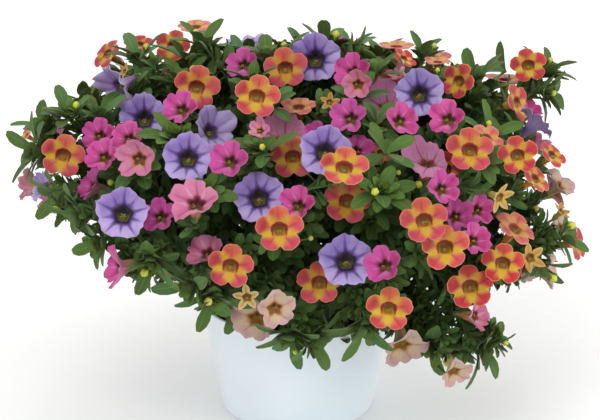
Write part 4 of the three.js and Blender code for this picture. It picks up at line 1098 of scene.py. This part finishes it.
def placeBuds():
    carriers = [
        (plant, point) for plant in plants for head in plant["blooms"] + plant["tufts"]
        for point in head["path"][1:]
    ]
    spots = np.array([point for _, point in carriers])
    low, high = buds["levels"]
    placed = []
    for across, up in buds["spots"]:
        points = alongView(across, up, np.arange(*buds["search"], dtype=float))
        level = crownLevel(points)
        away = np.linalg.norm(points[:, None] - spots, axis=-1)
        cost = away.min(1) + buds["levelCost"] * np.abs(level - buds["bestLevel"])
        cost[inBlooms(points, clear["bud"])[0].any(1) | (level < low) | (level > high)] = none
        best = cost.argmin()
        if cost[best] < none and away[best].min() < buds["stalkMost"]:
            plant, foot = carriers[away[best].argmin()]
            placed.append((plant, foot, points[best]))
    for plant in plants:
        for tuft in plant["tufts"]:
            if draws.random() < buds["byRosette"]:
                across = unit(np.cross(tuft["axis"], draws.normal(0, 1, 3)))
                lead = tuft["axis"] * 0.85 + across * 0.6
                end = tuft["centre"] + lead * draws.uniform(*buds["fromRosette"])
                if not inBlooms(end[None], clear["bud"])[0].any():
                    placed.append((plant, tuft["centre"] - tuft["axis"] * 2, end))
    for plant, foot, middle in placed:
        radius = draws.uniform(*buds["radius"])
        axis = unit(unit(middle - foot) + outward(middle) * 0.7 + np.array([0, 0, 0.3]))
        base = middle - axis * radius * buds["slender"] / 2
        bud = {"foot": foot, "base": base, "axis": axis, "radius": radius, "blush": draws.random()}
        plant["buds"].append(bud)
    return np.array([middle for _, _, middle in placed])


def budLook():
    look = newLook("bud", Roughness=0.6, Subsurface_Weight=0.1, Subsurface_Scale=0.001)
    u, v = pairOf(look, "place")
    _, blush = pairOf(look, "tone")
    cloud = speckle(look, 420, 3)
    furrow = fall(maths("PINGPONG", u * 5, 0.5), 0, 0.2)
    colour = paint(buds["green"], buds["pale"], rise(v, 0.1, 0.55))
    colour = paint(colour, buds["tip"], rise(v, 0.5, 1) * rise(blush, 0.72, 0.95))
    for amount in (furrow * 0.6, rise(cloud, 0.45, 0.8) * 0.3):
        colour = paint(colour, buds["green"], amount)
    return finish(look, colour, cloud - furrow, 0.4, 0.3)


furledLook = budLook()


def budParts(bud):
    radius, axis, base = bud["radius"], bud["axis"], bud["base"]
    length = radius * buds["slender"]
    bow = (bud["foot"] + base) / 2 + outward(base) * 1.5
    parts = [stalk(smoothPath([bud["foot"], bow, base + axis * 0.6], 3), buds["stalk"], 5)]
    across, beside = acrossBoth(axis)
    columns = buds["columns"]
    ring = ringOf(columns, across, beside)
    steps = np.linspace(0, 1, len(buds["swell"]))
    rings = []
    for step, size in zip(steps, buds["swell"]):
        flute = 1 + buds["flute"] * np.cos(5 * turns(columns) + step * 2) * step
        rings.append(base + axis * length * step + ring * (radius * size * flute)[:, None])
    place = np.zeros((1, len(steps), columns + 1, 2))
    place[..., 0] = np.linspace(0, 1, columns + 1)
    place[..., 1] = steps[:, None]
    parts.append(part([rings], furledLook, place, tone=(0, bud["blush"])))
    sepal = buds["sepal"]
    sepals = []
    for number in range(5):
        out = wayAt(fullTurn * number / 5, across, beside)
        tip = base + axis * length * sepal["reach"] + out * radius * sepal["spread"]
        half = radius * sepal["half"]
        foot = base + out * radius * sepal["half"]
        sepals.append(newLeaf(foot, tip, axis - out, half, sepal["arch"], 0, sepal["youth"]))
    return parts + leafParts(sepals, foliageLook, 4)


sprigs = {
    "turn": math.radians(137.5),
    "step": 3.9,
    "bare": 8,
    "bareByRosette": 4,
    "youngNear": 20,
    "deepest": 0.5,  # further inside the crown they are fewer and longer
    "innermost": 0.2,  # and further still there are none
    "length": (14, 22),
    "halfShare": 0.2,
    "spread": (0.75, 1.25),  # from the stalk, in radians
    "innerStep": 6.2,
    "innerLength": (21, 31),
    "lean": 0.35,  # towards the outside of the crown
    "uneven": (0.8, 1.2),  # from step to step
    "arch": (0.02, 0.14),
    "bend": 0.08,
    "youngShorter": 0.35,
}
sideShoots = {
    "step": 11,
    "outerStep": 5.5,
    "outer": 0.8,
    "deepest": 0.5,
    "length": (6, 15),
    "uneven": (0.7, 1.3),
    "lean": (0.6, 0.8, 0.6, 0.35),  # on along the stalk, out, towards the outside and up
    "rosette": {"leaves": 9, "length": (8, 16), "tilt": (0.12, 1.05), "halfShare": 0.18, "youth": (0.9, 0.1)},
    "fewest": 3,
}
heart = {
    "half": 4.8,
    "rosette": {
        "leaves": 29, "length": (8, 18.5), "tilt": (0.08, 1.1), "halfShare": 0.2, "youth": (1.0, 0.7),
    },
}
calyx = {
    "cup": (1.7, 1.9, 1.6), "levels": (-0.5, 0.1, 0.8), "cupLength": 2.6,
    "base": 1.2, "sepal": 7.5, "sepalHalf": 1.0, "spread": 0.34, "uneven": (0.7, 1.5),
}
hairs = {"each": 20, "length": (0.9, 1.7), "longer": 1.4, "radius": 0.09, "tip": 0.02, "down": 9}
stems = {"main": (1.9, 1.5), "branch": (0.75, 1.0), "side": (0.7, 0.5), "sink": 2.4, "step": 5}
limits = {"past": 5, "potTop": 78, "potReach": 68, "lowest": 6}  # how far the leaves may go


def lengthOf(line):
    return np.linalg.norm(np.diff(line, axis=0), axis=1).sum()


def alongLine(line, along):
    lengths = np.concatenate([[0], np.cumsum(np.linalg.norm(np.diff(line, axis=0), axis=1))])
    spot, way = (
        np.array([np.interp(along, lengths, values[:, axis]) for axis in range(3)])
        for values in (line, tangents(line))
    )
    return spot, -unit(way)


# leaves round a stalk, from just below its head down into the crown
def leavesAlong(line, bare):
    leaves = []
    turn = draws.uniform(0, fullTurn)
    along = bare + draws.uniform(0, sprigs["step"])
    while along < lengthOf(line) - 3:
        spot, way = alongLine(line, along)
        level = crownLevel(spot)
        inner = level < sprigs["deepest"]
        if level > sprigs["innermost"]:
            out = wayAt(turn, *acrossBoth(way))
            lead = wayAt(draws.uniform(*sprigs["spread"]), way, out) + outward(spot) * sprigs["lean"]
            young = max(0, 1 - along / sprigs["youngNear"])
            length = draws.uniform(*sprigs["innerLength" if inner else "length"])
            length = length * (1 - sprigs["youngShorter"] * young)
            half = length * sprigs["halfShare"] * draws.uniform(0.85, 1.15)
            upper = way + outward(spot) * 0.5 - out * 0.2
            arch, bend = draws.uniform(*sprigs["arch"]), draws.uniform(-sprigs["bend"], sprigs["bend"])
            youth = young * draws.uniform(0.2, 0.9)
            leaves.append(newLeaf(spot, spot + unit(lead) * length, upper, half, arch, bend, youth))
        turn += sprigs["turn"]
        along += sprigs["innerStep" if inner else "step"] * draws.uniform(*sprigs["uneven"])
    return leaves


# short side shoots that end in a small rosette
def shootsAlong(line, bare):
    shoots = []
    along = bare + draws.uniform(3, sideShoots["step"])
    while along < lengthOf(line) - 5:
        spot, way = alongLine(line, along)
        level = crownLevel(spot)
        step = sideShoots["outerStep" if level > sideShoots["outer"] else "step"]
        along += step * draws.uniform(*sideShoots["uneven"])
        if level < sideShoots["deepest"]:
            continue
        out = wayAt(draws.uniform(0, fullTurn), *acrossBoth(way))
        on, aside, outer, up = sideShoots["lean"]
        lead = unit(way * on + out * aside + outward(spot) * outer + np.array([0, 0, up]))
        end = spot + lead * draws.uniform(*sideShoots["length"])
        shoots.append((spot, end, unit(lead + outward(spot) * 0.4)))
    return shoots


# leaves from the middle of a rosette, short and upright, out to its rim
def rosette(centre, axis, form):
    across, beside = acrossBoth(axis)
    leaves = []
    first = draws.uniform(0, fullTurn)
    for number in range(form["leaves"]):
        share = number / (form["leaves"] - 1)
        tilt, length, youth = (
            start + (end - start) * share for start, end in (form["tilt"], form["length"], form["youth"])
        )
        tilt += draws.uniform(-0.1, 0.1)
        length *= draws.uniform(0.9, 1.1)
        youth *= draws.uniform(0.7, 1)
        arch, bend = draws.uniform(-0.02, 0.1), draws.uniform(-0.06, 0.06)
        out = wayAt(first + number * sprigs["turn"], across, beside)
        foot = centre - axis * 3 * share
        tip = foot + wayAt(tilt, axis, out) * length
        leaves.append(newLeaf(foot, tip, axis - out * 0.3, length * form["halfShare"], arch, bend, youth))
    return leaves


# leaves that reach past the frame's box or into the pot are left out
def insideBounds(leaves):
    low, high = (np.array(corner) / mm for corner in cadBox)
    kept = []
    for leaf in leaves:
        tip = leaf["tip"]
        inBox = (tip > low - limits["past"]).all() and (tip < high + limits["past"]).all()
        inPot = tip[2] < limits["potTop"] and math.hypot(tip[0], tip[1]) < limits["potReach"]
        if inBox and not inPot and tip[2] > limits["lowest"]:
            kept.append(leaf)
    return kept


def calyxParts(bloom):
    scale, axis, foot = bloom["scale"], bloom["axis"], bloom["path"][0]
    line = np.array([foot + axis * (level * calyx["cupLength"]) * scale for level in calyx["levels"]])
    cup = tubeAlong(line, [radius * scale for radius in calyx["cup"]], 8, stemLook)
    sepals = []
    for number in range(5):
        out = wayAt(fullTurn * (number + 0.5) / 5, bloom["up"], bloom["right"])
        base = foot + out * calyx["base"] * scale
        lead = unit(axis + out * calyx["spread"] * draws.uniform(*calyx["uneven"]))
        tip = base + lead * calyx["sepal"] * scale
        sepals.append(newLeaf(base, tip, axis - out, calyx["sepalHalf"] * scale, -0.05, 0, 0.35))
    return [cup] + leafParts(sepals, foliageLook, 4)


# short soft hairs on the calyx and on the stalk below it, each a three-sided spike
def hairParts(bloom):
    scale, line = bloom["scale"], bloom["path"]
    if len(line) > 1:
        line = smoothPath([line[0] + bloom["axis"] * 3 * scale, *line], 2)
    spikes = []
    for number in range(hairs["each"]):
        spot, way = alongLine(line, draws.uniform(0, hairs["down"]))
        out = wayAt(draws.uniform(0, fullTurn), *acrossBoth(way))
        foot = spot + out * 0.5
        length = draws.uniform(*hairs["length"]) + hairs["longer"] * scale * (number % 2)
        spikes.append(spindle(foot, foot + (out + way * 0.25) * length, [hairs["radius"], hairs["tip"]], 3))
    return [part(spikes, stemLook)]


# the leaves that the frame has, and the young ones in their middle
def tuftLeaves(tuft):
    grown = []
    for tip in tuft["tips"]:
        half = heart["half"] * draws.uniform(0.85, 1.0)
        arch, bend = draws.uniform(0.04, 0.1), draws.uniform(-0.05, 0.05)
        grown.append(newLeaf(tuft["centre"], tip, tuft["axis"], half, arch, bend, draws.uniform(0.05, 0.5)))
    return grown, rosette(tuft["centre"], tuft["axis"], heart["rosette"])


def plantParts(plant):
    main = smoothPath(plant["path"], stems["step"])
    main = np.concatenate([main, [main[-1] + tangents(main)[-1] * 3]])
    parts = [stalk(main, stems["main"], 8)]
    fine, plain = [], leavesAlong(main[::-1], 2)
    for head in plant["blooms"] + plant["tufts"]:
        path = head["path"]
        if len(path) < 2:
            continue
        inside = path[-1] + unit(path[-1] - path[-2]) * stems["sink"]
        line = smoothPath(np.concatenate([path, [inside]]), stems["step"])
        parts.append(stalk(line, stems["branch"], 6))
        bare = sprigs["bareByRosette" if "tips" in head else "bare"]
        plain += leavesAlong(line, bare)
        for foot, end, axis in shootsAlong(line, bare):
            leaves = insideBounds(clearOfBlooms(rosette(end, axis, sideShoots["rosette"])))
            if len(leaves) >= sideShoots["fewest"]:
                plain += leaves
                bow = (foot + end) / 2 + np.array([0, 0, -1])
                parts.append(stalk(smoothPath([foot, bow, end], 6), stems["side"], 5))
    for bloom in plant["blooms"]:
        parts += calyxParts(bloom) + hairParts(bloom)
    for bud in plant["buds"]:
        parts += budParts(bud)
    for tuft in plant["tufts"]:
        grown, young = tuftLeaves(tuft)
        fine += grown
        plain += young
    plain = insideBounds(clearOfBlooms(plain))
    plant["leafCount"] = len(fine) + len(plain)
    deep = [leaf for leaf in plain if crownLevel(leaf["tip"]) < leafForm["deep"]]
    shown = [leaf for leaf in plain if crownLevel(leaf["tip"]) >= leafForm["deep"]]
    for leaves, columns in ((fine, 8), (shown, 4), (deep, 3)):
        parts += leafParts(leaves, foliageLook, columns)
    return parts


budMiddles = placeBuds()
guarded["spots"] = np.concatenate([guarded["spots"], inView(budMiddles)])
guarded["reach"] = np.concatenate([guarded["reach"], np.full(len(budMiddles), clear["budRadius"])])
print("buds", len(budMiddles))

for plant in plants:
    family = plant["family"]
    greens = weave(plant["node"].replace("spray", "stalks").replace("shoot", "leaves"), plantParts(plant))
    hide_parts(plant["node"])
    if plant["blooms"]:
        parts = []
        for bloom in plant["blooms"]:
            points, place, side = bloomPoints(bloom)
            parts.append(part([points], petals[bloom["shade"]], place, side, (draws.random(), 0)))
            parts += stamenParts(bloom)
        heads = weave(plant["node"].replace("spray", "blooms"), parts, 62)
        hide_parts(plant["node"])
print("leaves", sum(plant["leafCount"] for plant in plants))

# the pot
pot = {
    "rim": 64.5, "foot": 51.4, "height": 76, "wall": 2.4, "floor": 3, "footRound": 1.8,
    "insideRound": 3, "drains": 4, "drainRadius": 4, "drainRing": 34, "drainPast": 2, "columns": 160,
    "white": "#e4edf3", "shade": "#dae6ee",
}


def potWidth(height):
    return pot["foot"] + (pot["rim"] - pot["foot"]) * height / pot["height"]


def arc(middle, radius, first, last, count):
    angles = np.radians(np.linspace(first, last, count))
    return [(middle[0] + radius * math.cos(a), middle[1] + radius * math.sin(a)) for a in angles]


def lathe(profile, columns):
    angle = turns(columns)
    radius, height = np.array(profile).T[:, :, None]
    return np.stack([radius * np.cos(angle), radius * np.sin(angle), height + 0 * angle], -1)


def potLook():
    look = newLook("pot_glaze", Roughness=0.28, Specular_IOR_Level=0.5, Coat_Weight=0.25, Coat_Roughness=0.12)
    cloud = speckle(look, 14, 2)
    dust = speckle(look, 60, 2)
    feed(shaderOf(look), {"Roughness": dust * 0.1 + 0.25})
    return finish(look, paint(pot["white"], pot["shade"], rise(cloud, 0.3, 0.7)), cloud, 0.04, 0.3)


def buildPot():
    foot, floor, wall = pot["footRound"], pot["floor"], pot["wall"]
    half, bend = wall / 2, pot["insideRound"]
    lip = pot["height"] - half  # where the rim's round starts
    profile = [(radius, 0) for radius in (0.5, 20, 40)]
    profile += arc((pot["foot"] - foot, foot), foot, -90, 0, 7)
    profile += [(potWidth(height), height) for height in np.linspace(foot + 4, lip - 3, 12)]
    profile += arc((pot["rim"] - half, lip), half, 0, 180, 13)
    profile += [(potWidth(height) - wall, height) for height in np.linspace(lip - 3, 8, 10)]
    profile += arc((potWidth(4) - wall - bend, floor + bend), bend, 0, -90, 6)
    profile += [(radius, floor) for radius in (36, 18, 0.5)]
    glaze = potLook()
    shell = weave("pot_shell", [part([lathe(profile, pot["columns"])], glaze)], 60)
    for number in range(pot["drains"]):
        angle = math.radians(45 + 360 * number / pot["drains"])
        spot = np.array([math.cos(angle), math.sin(angle), 0]) * pot["drainRing"]
        line = np.array([spot + [0, 0, height] for height in (-pot["drainPast"], floor + pot["drainPast"])])
        cutter = weave(f"drain_{number}", [tubeAlong(line, [pot["drainRadius"]] * 2, 32, glaze)])
        cut = shell.modifiers.new("drain", "BOOLEAN")
        cut.object = cutter
        cut.solver = "EXACT"
        bpy.context.view_layer.objects.active = shell
        bpy.ops.object.modifier_apply(modifier=cut.name)
        bpy.data.objects.remove(cutter)
    return shell


potShell = buildPot()
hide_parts("pot")
print("pot", len(potShell.data.polygons))

# the soil
soil = {
    "top": 69, "gap": 0.4, "dip": 0.4, "columns": 72, "rings": 16,
    "crumbs": 260, "crumb": (0.7, 2.2), "sunk": 0.7, "jitter": 0.12, "swell": [0.5, 0.95, 1.0, 0.55],
    "dark": "#2b2019", "brown": "#4a3828", "pale": "#8a7a62",
}


def soilLook():
    look = newLook("soil", Roughness=0.95, Specular_IOR_Level=0.2)
    coarse = speckle(look, 160, 5, roughness=0.7)
    fine = speckle(look, 900, 4, roughness=0.7)
    colour = paint(soil["dark"], soil["brown"], rise(coarse, 0.35, 0.7))
    colour = paint(colour, soil["pale"], rise(fine, 0.62, 0.75) * 0.5)
    return finish(look, colour, coarse + fine * 0.5, 0.9, 1.2)


def soilParts():
    look = soilLook()
    top = soil["top"]
    inner = potWidth(top) - pot["wall"] - soil["gap"]
    bottom = potWidth(pot["floor"] + 4) - pot["wall"] - soil["gap"] - 3
    low = pot["floor"] + soil["gap"]
    side = [
        (inner - (inner - bottom - 2) * (1 - share), low + 4 + (top - low - 5) * share)
        for share in (0.3, 0.6, 0.97)
    ]
    surface = [(inner * share, top - soil["dip"]) for share in np.linspace(0.995, 0.01, soil["rings"])]
    points = lathe([(0.5, low), (bottom, low), (bottom + 2, low + 4), *side, *surface], soil["columns"])
    x, y = points[6:, :, 0], points[6:, :, 1]
    lumps = 0.5 * np.sin(x * 0.31 + 1.3 * np.sin(y * 0.22)) + 0.4 * np.sin(y * 0.47 + x * 0.2)
    grit = 0.35 * np.sin(x * 1.9 + y * 1.3) * np.sin(y * 2.3 - x * 0.7)
    points[6:, :, 2] += (lumps + grit - 0.6) * np.clip((inner - np.hypot(x, y)) / 3, 0, 1)
    parts = [part([points], look)]
    for _ in range(soil["crumbs"]):
        angle, reach = draws.uniform(0, fullTurn), inner * math.sqrt(draws.uniform(0, 0.92))
        size = draws.uniform(*soil["crumb"])
        spot = np.array([reach * math.cos(angle), reach * math.sin(angle), top - soil["sunk"]])
        way = unit(draws.normal(0, 1, 3) * [1, 1, 0.4]) * size * draws.uniform(0.7, 1.5)
        radii = np.array(soil["swell"]) * size * draws.uniform(0.7, 1.1, 4)
        crumb = spindle(spot - way, spot + way, radii)
        parts.append(part([crumb + draws.normal(0, soil["jitter"], crumb.shape) * size], look))
    return parts


soilPiece = weave("soil_top", soilParts(), 40)
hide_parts("soil")

# the floor and the light, in metres
studio = {
    "floor": "#f7f7f6", "floorShade": "#f4f4f3", "world": 0.8, "size": 6, "aim": (0, 0, 0.14),
    "lamps": [
        {"at": (-0.8, -1.4, 1.7), "size": 1.5, "power": 22.5},
        {"at": (1.6, -0.8, 0.75), "size": 1.4, "power": 15},
        {"at": (0.3, 1.4, 1.6), "size": 1.6, "power": 12},
    ],
}


def buildStudio():
    mesh = bpy.data.meshes.new("floor")
    corners = [(x * studio["size"], y * studio["size"], 0) for x, y in ((-1, -1), (1, -1), (1, 1), (-1, 1))]
    mesh.from_pydata(corners, [], [(0, 1, 2, 3)])
    mesh.materials.append(plainLook("floor", studio["floor"], studio["floorShade"], 4, Roughness=0.9))
    floor = bpy.data.objects.new("floor", mesh)
    scene.collection.objects.link(floor)
    world = bpy.data.worlds.new("studio")
    world.use_nodes = True
    feed(world.node_tree.nodes["Background"], {0: (1, 1, 1, 1), 1: studio["world"]})
    scene.world = world
    for number, lamp in enumerate(studio["lamps"]):
        light = bpy.data.lights.new(f"lamp_{number}", "AREA")
        light.size = lamp["size"]
        light.energy = lamp["power"]
        holder = bpy.data.objects.new(light.name, light)
        holder.location = lamp["at"]
        towards = Vector(studio["aim"]) - Vector(lamp["at"])
        holder.rotation_euler = towards.to_track_quat("-Z", "Y").to_euler()
        scene.collection.objects.link(holder)


buildStudio()
scene.view_settings.view_transform = "Standard"
